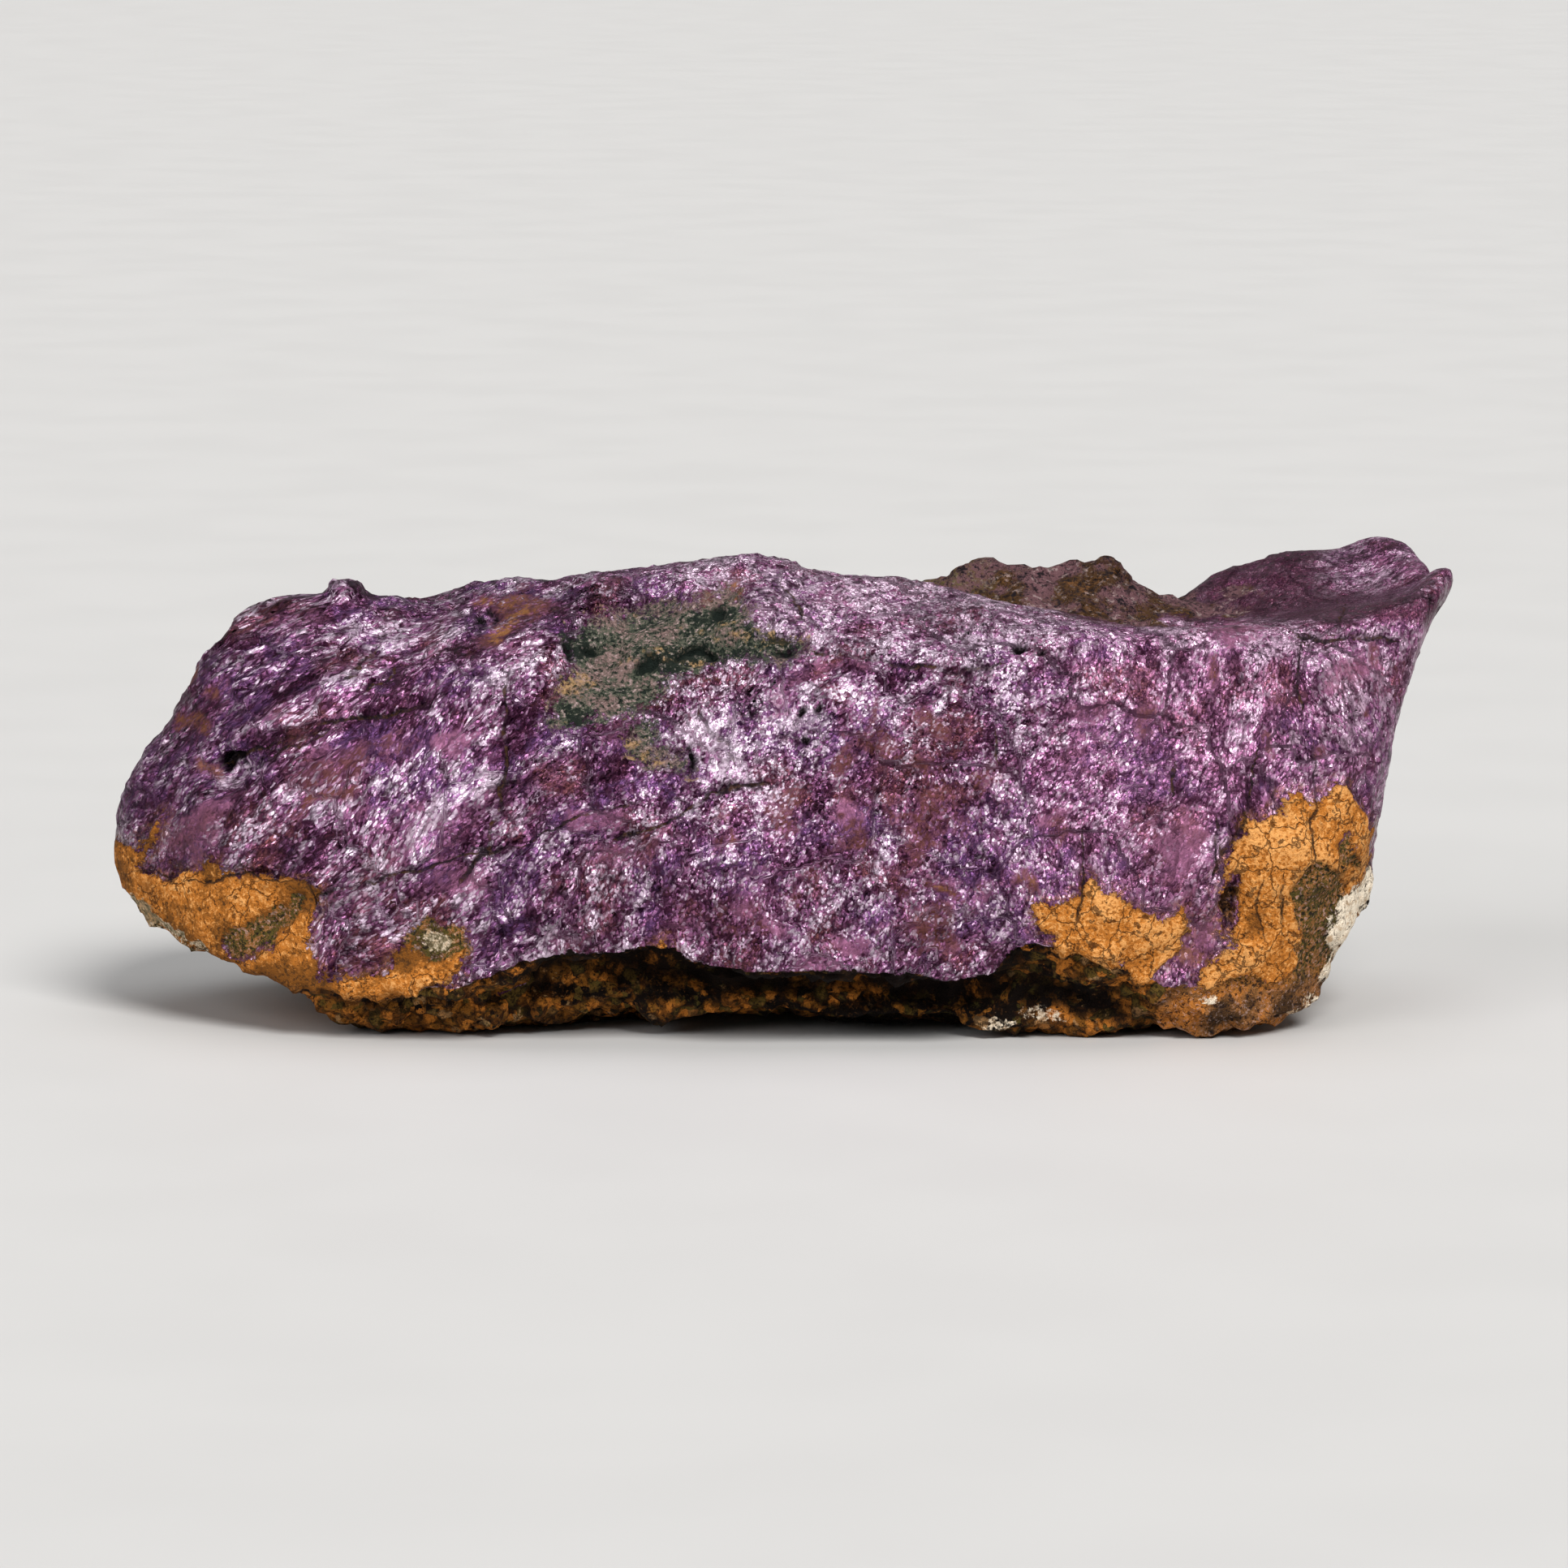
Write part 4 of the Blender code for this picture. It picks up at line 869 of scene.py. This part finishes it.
def cleavage(n):
    """Bare purpurite: colour, roughness, metallic, lean and height."""
    c, frays, fine_noise = n.colours, n.frays, n.fine
    film, stain, calm, flow = n.stored("film"), n.stored("stain"), n.stored("calm"), n.stored("flow", "Vector")
    clean = n.rest(n.times(n.stored("bright"), 0.25))
    bent_flow = n.bent(flow, 2.6, 1.0, 0.22)
    fine = n.group(n.flakes, vector=bent_flow, scale=6.8, tilt=0.85)
    middle = n.group(n.flakes, vector=n.vector("ADD", bent_flow, (3.0, 1.0, 5.0)), scale=2.2, tilt=0.75)
    broad = n.group(n.flakes, vector=n.vector("ADD", flow, (4.0, 7.0, 2.0)), scale=0.6, tilt=0.75)

    # How pale each flake is painted: its own shade, raised where the painted glitter is high, a painted sheen
    spread = n.plus(n.plus(n.times(middle["Shade"], 0.32), broad["Shade"], 0.20), fine["Shade"], 0.48)
    level = n.plus(spread, n.math("SUBTRACT", n.stored("glitter"), 0.5), 0.55)
    # Redder where the hue is high, bluer where it's low
    tint = n.plus(n.stored("hue"), n.math("SUBTRACT", fine_noise, 0.5), 0.6)
    # Each flake is either under the film or clear of it
    rank = n.plus(n.times(frays, 0.8), fine["Shine"], 0.55)
    filmed = n.between(n.math("SUBTRACT", n.times(film, 1.15), rank), -0.60, 0.35)
    filmed = n.times(filmed, n.between(fine["Shade"], 0.95, 0.55, 0.30, 0.85))
    gap = n.times(n.most(fine["Gap"], middle["Gap"]), n.between(frays, 0.40, 0.60, 1.05, 0.45))
    gap = n.times(gap, clean, n.rest(n.times(filmed, 0.35)))
    matte = n.over(
        c.dull,
        (c.mauve, n.between(n.blend(0.45, spread, fine_noise), 0.34, 0.62)),
        (c.orchid, n.most(calm, n.rest(n.between(stain, 0.0, 0.6))), 0.35),
        (c.deep, stain, 0.35),
        (c.stain, stain, n.between(frays, 0.34, 0.52)),
        (c.bark, n.between(stain, 0.85, 1.15), n.between(frays, 0.30, 0.48)),
    )
    # Dark purple for the painted shade at the ends and on the back ridge, and for the duller back.
    shade_and_weathering = n.over(
        c.deep,
        (c.dull, n.between(fine_noise, 0.30, 0.62)),
        (c.bark, stain, n.between(frays, 0.36, 0.52)),
    )
    body = n.over(
        c.deep,
        (c.purple, n.between(level, 0.24, 0.50)),
        (c.wine, n.between(tint, 0.56, 0.84), 0.60),
        (c.violet, n.between(tint, 0.48, 0.24), 0.50),
        (c.lilac, n.between(level, 0.47, 0.84)),
        (c.orchid, calm, n.between(level, 0.26, 0.46, 0.12, 0.44)),
        (n.over(c.deep, (c.green_black, n.between(frays, 0.50, 0.60), 0.8)), gap, 0.90),
        (matte, filmed),
        # Painted shade where the stored dull share is high
        (shade_and_weathering, n.stored("dull"), 0.88),
        (c.gap, n.dark),
    )

    rough = n.blend(filmed, n.plus(0.17, fine["Shine"], 0.24), 0.60)
    metal = n.blend(filmed, 0.62, 0.25)
    leaning = n.vector("ADD", n.scaled(fine["Lean"], clean), n.vector("ADD", middle["Lean"], broad["Lean"]))
    leaning = n.vector("ADD", leaning, n.scaled(n.stored("lean", "Vector"), 0.5))
    leaning = n.scaled(leaning, n.rest(n.most(n.times(filmed, 0.50), n.times(calm, 0.30))))
    return body, rough, metal, leaning, n.plus(fine_noise, gap, -0.7)


def soil_colour(n):
    """Soil under the lip and on the underside: clods of several minerals, with the painted shadow under the lip
    laid on in black.
    """
    c, frays, grains, patina, ochre = n.colours, n.frays, n.grains, n.patina, n.stored("ochre")
    clods = n.cells(n.bent(n.grid, 1.3, 3.0, 1.2), 1.35)
    clod = n.parts(clods["Color"])
    rock = n.blend(0.26, n.blend(0.45, n.seams, n.blend(0.40, n.blotches, frays)), clod[0])
    rock = n.plus(rock, n.math("SUBTRACT", ochre, 0.5), 0.24)
    shown = n.between(rock, 0.40, 0.50)
    return n.over(
        c.black,
        (c.brown, n.between(rock, 0.40, 0.49)),
        (c.ochre, n.between(rock, 0.46, 0.55)),
        (c.rust, n.between(rock, 0.53, 0.61), n.between(clod[1], 0.35, 0.5)),
        (c.olive, n.between(clod[1], 0.24, 0.20), shown, 0.8),
        (c.cream_dark, n.between(clod[2], 0.91, 0.97), shown, 0.7),
        (c.bark, n.between(grains, 0.70, 0.95), ochre),
        (c.olive, n.between(frays, 0.54, 0.62), n.between(patina, 0.50, 0.34), 0.8),
        (c.cream_dark, n.between(frays, 0.60, 0.68), n.between(patina, 0.55, 0.75), 0.6),
        (c.black, n.between(grains, 0.45, 0.20), 0.8),
        (c.black, n.between(clods["Distance"], 0.42, 0.68), 0.7),
        # Painted shadow under the lip
        (c.black, n.stored("shadow"), n.between(n.blotches, 0.66, 0.52, 0.45, 0.98)),
    )


def filling_colour(n):
    """Green-grey filling, nearly black in its hollows."""
    c, frays, grains = n.colours, n.frays, n.grains
    mottle = n.blend(0.62, n.patina, n.blend(0.60, frays, grains))
    return n.over(
        c.green,
        (c.taupe, n.between(n.blend(0.5, n.patina, grains), 0.44, 0.74)),
        (c.sand, n.between(grains, 0.66, 0.98), 0.6),
        (c.cream_dark, n.between(n.blend(0.5, n.seams, frays), 0.56, 0.68), 0.7),
        (c.green_black, n.between(mottle, 0.49, 0.35), 0.92),
        (c.green_black, n.between(grains, 0.42, 0.16), 0.9),
        (c.green_black, n.dark),
    )


def knob_colour(n):
    """Dull knob at the back."""
    c, edging = n.colours, n.edging
    patches = n.blend(0.6, n.patina, edging)
    return n.over(
        c.ash,
        (c.umber, n.between(patches, 0.46, 0.58)),
        (c.bark, n.between(patches, 0.60, 0.70), 0.35),
        (c.sand, n.between(n.frays, 0.55, 0.66), 0.50),
        (c.olive, n.stored("olive"), n.between(edging, 0.44, 0.62)),
        (c.gap, n.between(n.grains, 0.44, 0.22), 0.8),
        (c.gap, n.between(n.blend(0.5, n.blotches, edging), 0.47, 0.38)),
    )


def brown_crust_colour(n):
    """Granular brown crust, redder low down and greener higher up."""
    c, grains = n.colours, n.grains
    patches = n.blend(0.5, n.patina, n.edging)
    raised = n.between(n.parts(n.grid)[2], 2.5, 4.5)
    return n.over(
        c.umber,
        (c.bark, n.between(patches, 0.34, 0.50)),
        (c.rust, n.between(patches, 0.48, 0.60), n.math("SUBTRACT", 0.7, n.times(raised, 0.6))),
        (c.olive, raised, n.between(n.blend(0.5, n.frays, grains), 0.58, 0.44)),
        (c.sand, n.between(grains, 0.62, 0.92), 0.5),
        (c.gap, n.between(grains, 0.40, 0.20), 0.85),
    )


def orange_crust_colour(n):
    """Orange crust, and where it's cracked or holed."""
    c, frays, grains, patina = n.colours, n.frays, n.grains, n.patina
    lumps = n.blend(0.55, patina, n.edging)
    crazing = n.group(n.cracks, vector=n.grid, noise=patina, scale=0.55, width=0.034, share=0.44)["Crack"]
    broken = n.most(crazing, n.times(n.between(frays, 0.60, 0.64), n.between(patina, 0.50, 0.60)))
    clay = n.over(
        c.rust_dark,
        (c.rust, n.between(lumps, 0.36, 0.54)),
        (c.rust_light, n.between(n.blend(0.4, lumps, grains), 0.50, 0.72), 0.75),
        (c.rust_gap, n.between(grains, 0.38, 0.12), 0.50),
        (c.umber, n.between(n.blend(0.45, lumps, grains), 0.40, 0.26), 0.65),
        (c.rust_gap, broken, 0.75),
        (c.rust_gap, n.between(n.stored("rust"), 0.30, 0.0), 0.45),
        (c.rust_gap, n.dark, 0.9),
    )
    return clay, broken


def matrix_colour(n, soil, earth):
    """Cream matrix, dirty away from the right end, with soil on it where the soil reaches."""
    c, patina, dirty = n.colours, n.patina, n.stored("worn")
    specks = n.blend(0.5, n.grains, n.frays)
    return n.over(
        c.cream,
        (c.cream_dark, n.between(n.frays, 0.48, 0.68), 0.8),
        (c.cream_dark, dirty, n.between(patina, 0.42, 0.56, 0.35, 0.85)),
        (c.moss, dirty, n.between(n.blend(0.6, n.grains, n.frays), 0.66, 0.42)),
        (c.umber, n.between(specks, 0.40, 0.30), 0.8),
        (earth, soil, n.between(specks, 0.64, 0.40)),
    )


def long_cracks(n, rust):
    """Thin lines along the stored cracks, narrower and broken in places."""
    away = n.math("ABSOLUTE", n.plus(n.stored("crack"), n.math("SUBTRACT", n.edging, 0.5), 0.5))
    room = n.times(n.stored("split"), n.between(rust, 0.0, 1.0, 1.0, 0.65))
    shown = n.between(n.blend(0.5, n.frays, n.seams), 0.36, 0.48, 0.45, 1.0)
    return n.times(n.between(n.math("SUBTRACT", room, away), -0.03, 0.04), n.between(room, 0.01, 0.04), shown)


def new_material(name):
    """A material without nodes, and its tree."""
    material = bpy.data.materials.new(name)
    material.use_nodes = True
    material.node_tree.nodes.clear()
    return material, material.node_tree


def purpurite_material(colours):
    """The whole stone: bare cleavage, crusts, matrix and soil, laid over each other by the stored distances."""
    material, tree = new_material("purpurite stone")
    n = StoneNodes(tree, colours)
    body, rough, metal, leaning, height = cleavage(n)
    soil, green, knob = n.mask("soil", 0.9, 0.06), n.mask("green", 5.0, 0.35), n.mask("knob", 1.6, 0.25)
    brown, rust, cream = n.mask("brown", 1.8, 0.12), n.mask("rust", 1.7, 0.05), n.mask("cream", 1.5, 0.08)
    earth = soil_colour(n)
    clay, broken = orange_crust_colour(n)
    line = long_cracks(n, rust)
    body = n.over(
        body,
        # Rusty stain on the cleavage beside the orange crust
        (colours.bark, n.between(n.stored("rust"), -0.9, -0.1), n.between(n.edging, 0.43, 0.60), 0.6),
        (earth, soil),
        (filling_colour(n), green),
        (knob_colour(n), knob),
        (brown_crust_colour(n), brown),
        (clay, rust),
        (matrix_colour(n, soil, earth), cream),
        (n.over(colours.gap, (colours.umber, n.between(n.frays, 0.45, 0.6))), line, 0.92),
    )

    crusted = n.most(soil, green, brown, rust, cream, n.times(knob, 0.55), line)
    bare = n.rest(crusted)
    rough = n.blend(crusted, rough, n.plus(0.74, n.fine, 0.2))
    crust_height = n.plus(n.times(n.blend(0.5, n.grains, n.edging), 2.4), broken, -1.2)
    height = n.plus(n.blend(crusted, n.times(height, 0.6), crust_height), line, -1.6)
    facing = n.vector("ADD", n.add("ShaderNodeNewGeometry").outputs["Normal"], n.scaled(leaning, bare))
    facing = n.vector("NORMALIZE", facing)
    bump = n.add("ShaderNodeBump", {"Strength": 1.0, "Distance": 0.00009, "Height": height, "Normal": facing})
    surface = n.add(
        "ShaderNodeBsdfPrincipled",
        {"Base Color": body, "Roughness": rough, "Metallic": n.times(metal, bare), "IOR": 1.22,
         "Normal": bump.outputs[0]},
    )
    n.add("ShaderNodeOutputMaterial", {"Surface": surface.outputs[0]})
    return material


def floor_material(colour):
    """One pale shade with the faintest unevenness in its gloss."""
    material, tree = new_material("pale floor")
    n = Nodes(tree)
    place = n.add("ShaderNodeTexCoord").outputs["Object"]
    rough = n.between(n.noise(place, 60.0, 3.0), 0.3, 0.7, 0.56, 0.64)
    surface = n.add("ShaderNodeBsdfPrincipled", {"Base Color": with_alpha(colour), "Roughness": rough})
    n.add("ShaderNodeOutputMaterial", {"Surface": surface.outputs[0]})
    return material


# Settings


def shade(name, description, default):
    """A colour."""
    return bpy.props.FloatVectorProperty(
        name=name, description=description, default=default, size=3, min=0.0, max=1.0, subtype="COLOR"
    )


def number(name, description, default, **more):
    """A number, not below 0 unless another least value is given."""
    more.setdefault("min", 0.0)
    return bpy.props.FloatProperty(name=name, description=description, default=default, **more)


def length(name, description, default, **more):
    """A length in metres."""
    return number(name, description, default, unit="LENGTH", precision=5, **more)


class StoneSettings(bpy.types.PropertyGroup):
    """Sizes of the stone's relief"""

    pitch: length("Pitch", "Side of the small faces", 0.00046, min=0.0002)
    steps: number("Steps", "Height of the steps between grains and chips", 1.0, subtype="FACTOR")
    ripples: number("Ripples", "Height of the ripples along the cleavage", 1.0, subtype="FACTOR")
    crust: length("Crust", "How far the orange crust stands out", 0.00022)
    grit: length("Grit", "Height of the finest roughness", 0.00003)


class ColourSettings(bpy.types.PropertyGroup):
    """Colours of the minerals"""

    deep: shade("Deep plum", "Shadowed flakes of the cleavage", (0.040, 0.008, 0.026))
    purple: shade("Purple", "Most flakes of the cleavage", (0.32, 0.122, 0.265))
    # Also the colour of the painted glints on the palest flakes.
    lilac: shade("Lilac", "The palest flakes", (0.86, 0.68, 0.84))
    violet: shade("Violet", "Bluer parts of the cleavage", (0.18, 0.080, 0.24))
    wine: shade("Wine", "Redder parts of the cleavage", (0.21, 0.068, 0.072))
    orchid: shade("Orchid", "Brighter cleavage towards the right end", (0.46, 0.185, 0.345))
    mauve: shade("Mauve", "Matte film on the cleavage", (0.24, 0.086, 0.150))
    ash: shade("Ash", "Weathered knob at the back", (0.135, 0.066, 0.074))
    stain: shade("Stain", "Brown stain in the film", (0.125, 0.043, 0.027))
    # Also the painted shade at the ends and on the back ridge.
    dull: shade("Dull purple", "Weathered cleavage", (0.090, 0.026, 0.048))
    gap: shade("Gap", "Bottoms of cracks and pits", (0.010, 0.006, 0.008))
    rust: shade("Rust", "Orange crust", (0.53, 0.18, 0.026))
    rust_light: shade("Light rust", "Powdery parts of the crust", (0.90, 0.445, 0.145))
    rust_dark: shade("Dark rust", "Stained parts of the crust", (0.22, 0.078, 0.012))
    rust_gap: shade("Crust gap", "Cracks and holes in the crust", (0.045, 0.015, 0.004))
    umber: shade("Umber", "Brown specks", (0.060, 0.028, 0.010))
    bark: shade("Bark", "Granular brown crust", (0.27, 0.115, 0.036))
    moss: shade("Moss", "Dirt on the pale matrix", (0.19, 0.155, 0.085))
    olive: shade("Olive", "Olive stain at the back", (0.085, 0.065, 0.014))
    green: shade("Grey green", "Filling of the hollow", (0.070, 0.080, 0.056))
    green_black: shade("Green black", "Pits in the filling", (0.008, 0.013, 0.010))
    taupe: shade("Taupe", "Pinkish parts of the filling", (0.21, 0.135, 0.125))
    sand: shade("Sand", "Pale grit in the filling", (0.46, 0.35, 0.34))
    cream: shade("Cream", "Pale matrix", (0.95, 0.83, 0.66))
    cream_dark: shade("Dark cream", "Stained matrix", (0.46, 0.27, 0.12))
    brown: shade("Brown", "Soil under the lip", (0.075, 0.024, 0.003))
    ochre: shade("Ochre", "Ochre on the underside", (0.26, 0.100, 0.014))
    # Also the painted shadow under the lip.
    black: shade("Black", "Darkest soil", (0.005, 0.002, 0.001))


class StageSettings(bpy.types.PropertyGroup):
    """Floor, light and camera"""

    floor: shade("Floor", "Colour of the floor", (0.60, 0.595, 0.585))
    key: number("Key", "Strength of the main light", 3.2)
    front: number("Front", "Strength of the light by the camera", 1.0)
    top: number("Top", "Strength of the light from above", 0.9)
    sky: number("Sky", "Strength of the light from all round", 0.18)
    elevation: number(
        "Elevation", "How far the camera looks down", VIEW_ELEVATION, min=-math.pi, unit="ROTATION"
    )
    distance: length("Distance", "From the camera to the stone", VIEW_DISTANCE * MM, min=0.05)
    width: length("Width", "How much the picture takes in at the stone", 0.09384, min=0.001)


# Operators


class PURPURITE_OT_stone(bpy.types.Operator):
    """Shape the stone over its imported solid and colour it"""

    bl_idname = "purpurite.stone"
    bl_label = "Stone"

    def execute(self, context):
        settings = context.scene.purpurite_stone
        stone = copy_of_solid("purpurite_lump")
        even_skin(stone, settings.pitch)
        refine_front(stone)
        mesh = stone.data
        points = read_rows(mesh.vertices, "co").astype(float) / MM
        normals = read_rows(mesh.vertex_normals, "vector").astype(float)
        surface = Surface(points, normals)
        out = surface.relief(settings.steps, settings.ripples, settings.crust / MM, settings.grit / MM)
        write_points(mesh, points + normals * out[:, None])
        keep_surface(mesh, surface)
        select_only(stone)
        bpy.ops.object.shade_smooth_by_angle(angle=SMOOTH_ANGLE)
        mesh.materials.append(purpurite_material(context.scene.purpurite_colours))
        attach(stone, "root")
        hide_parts(NODE)
        return {"FINISHED"}


class PURPURITE_OT_stage(bpy.types.Operator):
    """Lay the floor and set up the lights and the camera"""

    bl_idname = "purpurite.stage"
    bl_label = "Floor, light and camera"

    def execute(self, context):
        settings = context.scene.purpurite_stage
        bpy.ops.object.select_all(action="DESELECT")
        bpy.ops.mesh.primitive_plane_add(size=FLOOR_SIZE, location=(0, 0, -FLOOR_DROP))
        floor = context.view_layer.objects.active
        floor.name = "floor"
        bpy.ops.object.transform_apply(location=True, rotation=True, scale=True)
        floor.data.materials.append(floor_material(settings.floor))
        for name, spread, turn, colour in SUNS:
            bpy.ops.object.light_add(type="SUN", rotation=[math.radians(v) for v in turn])
            light = context.view_layer.objects.active
            light.name = name
            light.data.energy = getattr(settings, name)
            light.data.angle = math.radians(spread)
            light.data.color = colour
        world = bpy.data.worlds.new("even light")
        world.use_nodes = True
        sky = world.node_tree.nodes["Background"].inputs
        sky["Color"].default_value = (1.0, 1.0, 1.0, 1.0)
        sky["Strength"].default_value = settings.sky
        context.scene.world = world
        context.scene.view_settings.view_transform = "Standard"
        back = Vector(towards_camera(settings.elevation))
        bpy.ops.object.camera_add(location=Vector((0, 0, VIEW_AIM * MM)) + back * settings.distance)
        camera = context.view_layer.objects.active
        camera.rotation_euler = (-back).to_track_quat("-Z", "Y").to_euler()
        camera.data.sensor_width = SENSOR
        camera.data.lens = SENSOR * settings.distance / settings.width
        camera.data.clip_start = 0.01
        camera.data.clip_end = 50.0
        context.scene.camera = camera
        return {"FINISHED"}


class PURPURITE_PT_panel(bpy.types.Panel):
    """Lists the settings and the operators"""

    bl_label = "Purpurite"
    bl_idname = "PURPURITE_PT_panel"
    bl_space_type = "VIEW_3D"
    bl_region_type = "UI"
    bl_category = "Purpurite"

    def draw(self, context):
        for name in SETTINGS:
            box = self.layout.box()
            group = getattr(context.scene, name)
            for prop in group.__annotations__:
                box.prop(group, prop)
            if name in OPERATORS:
                box.operator(OPERATORS[name])


SETTINGS = {
    "purpurite_stone": StoneSettings,
    "purpurite_colours": ColourSettings,
    "purpurite_stage": StageSettings,
}
OPERATORS = {"purpurite_stone": "purpurite.stone", "purpurite_stage": "purpurite.stage"}
CLASSES = (*SETTINGS.values(), PURPURITE_OT_stone, PURPURITE_OT_stage, PURPURITE_PT_panel)


def register():
    for cls in CLASSES:
        bpy.utils.register_class(cls)
    for name, kind in SETTINGS.items():
        setattr(bpy.types.Scene, name, bpy.props.PointerProperty(type=kind))


def unregister():
    for name in SETTINGS:
        delattr(bpy.types.Scene, name)
    for cls in reversed(CLASSES):
        bpy.utils.unregister_class(cls)


def main():
    register()
    bpy.ops.purpurite.stone()
    bpy.ops.purpurite.stage()


if __name__ == "__main__":
    main()
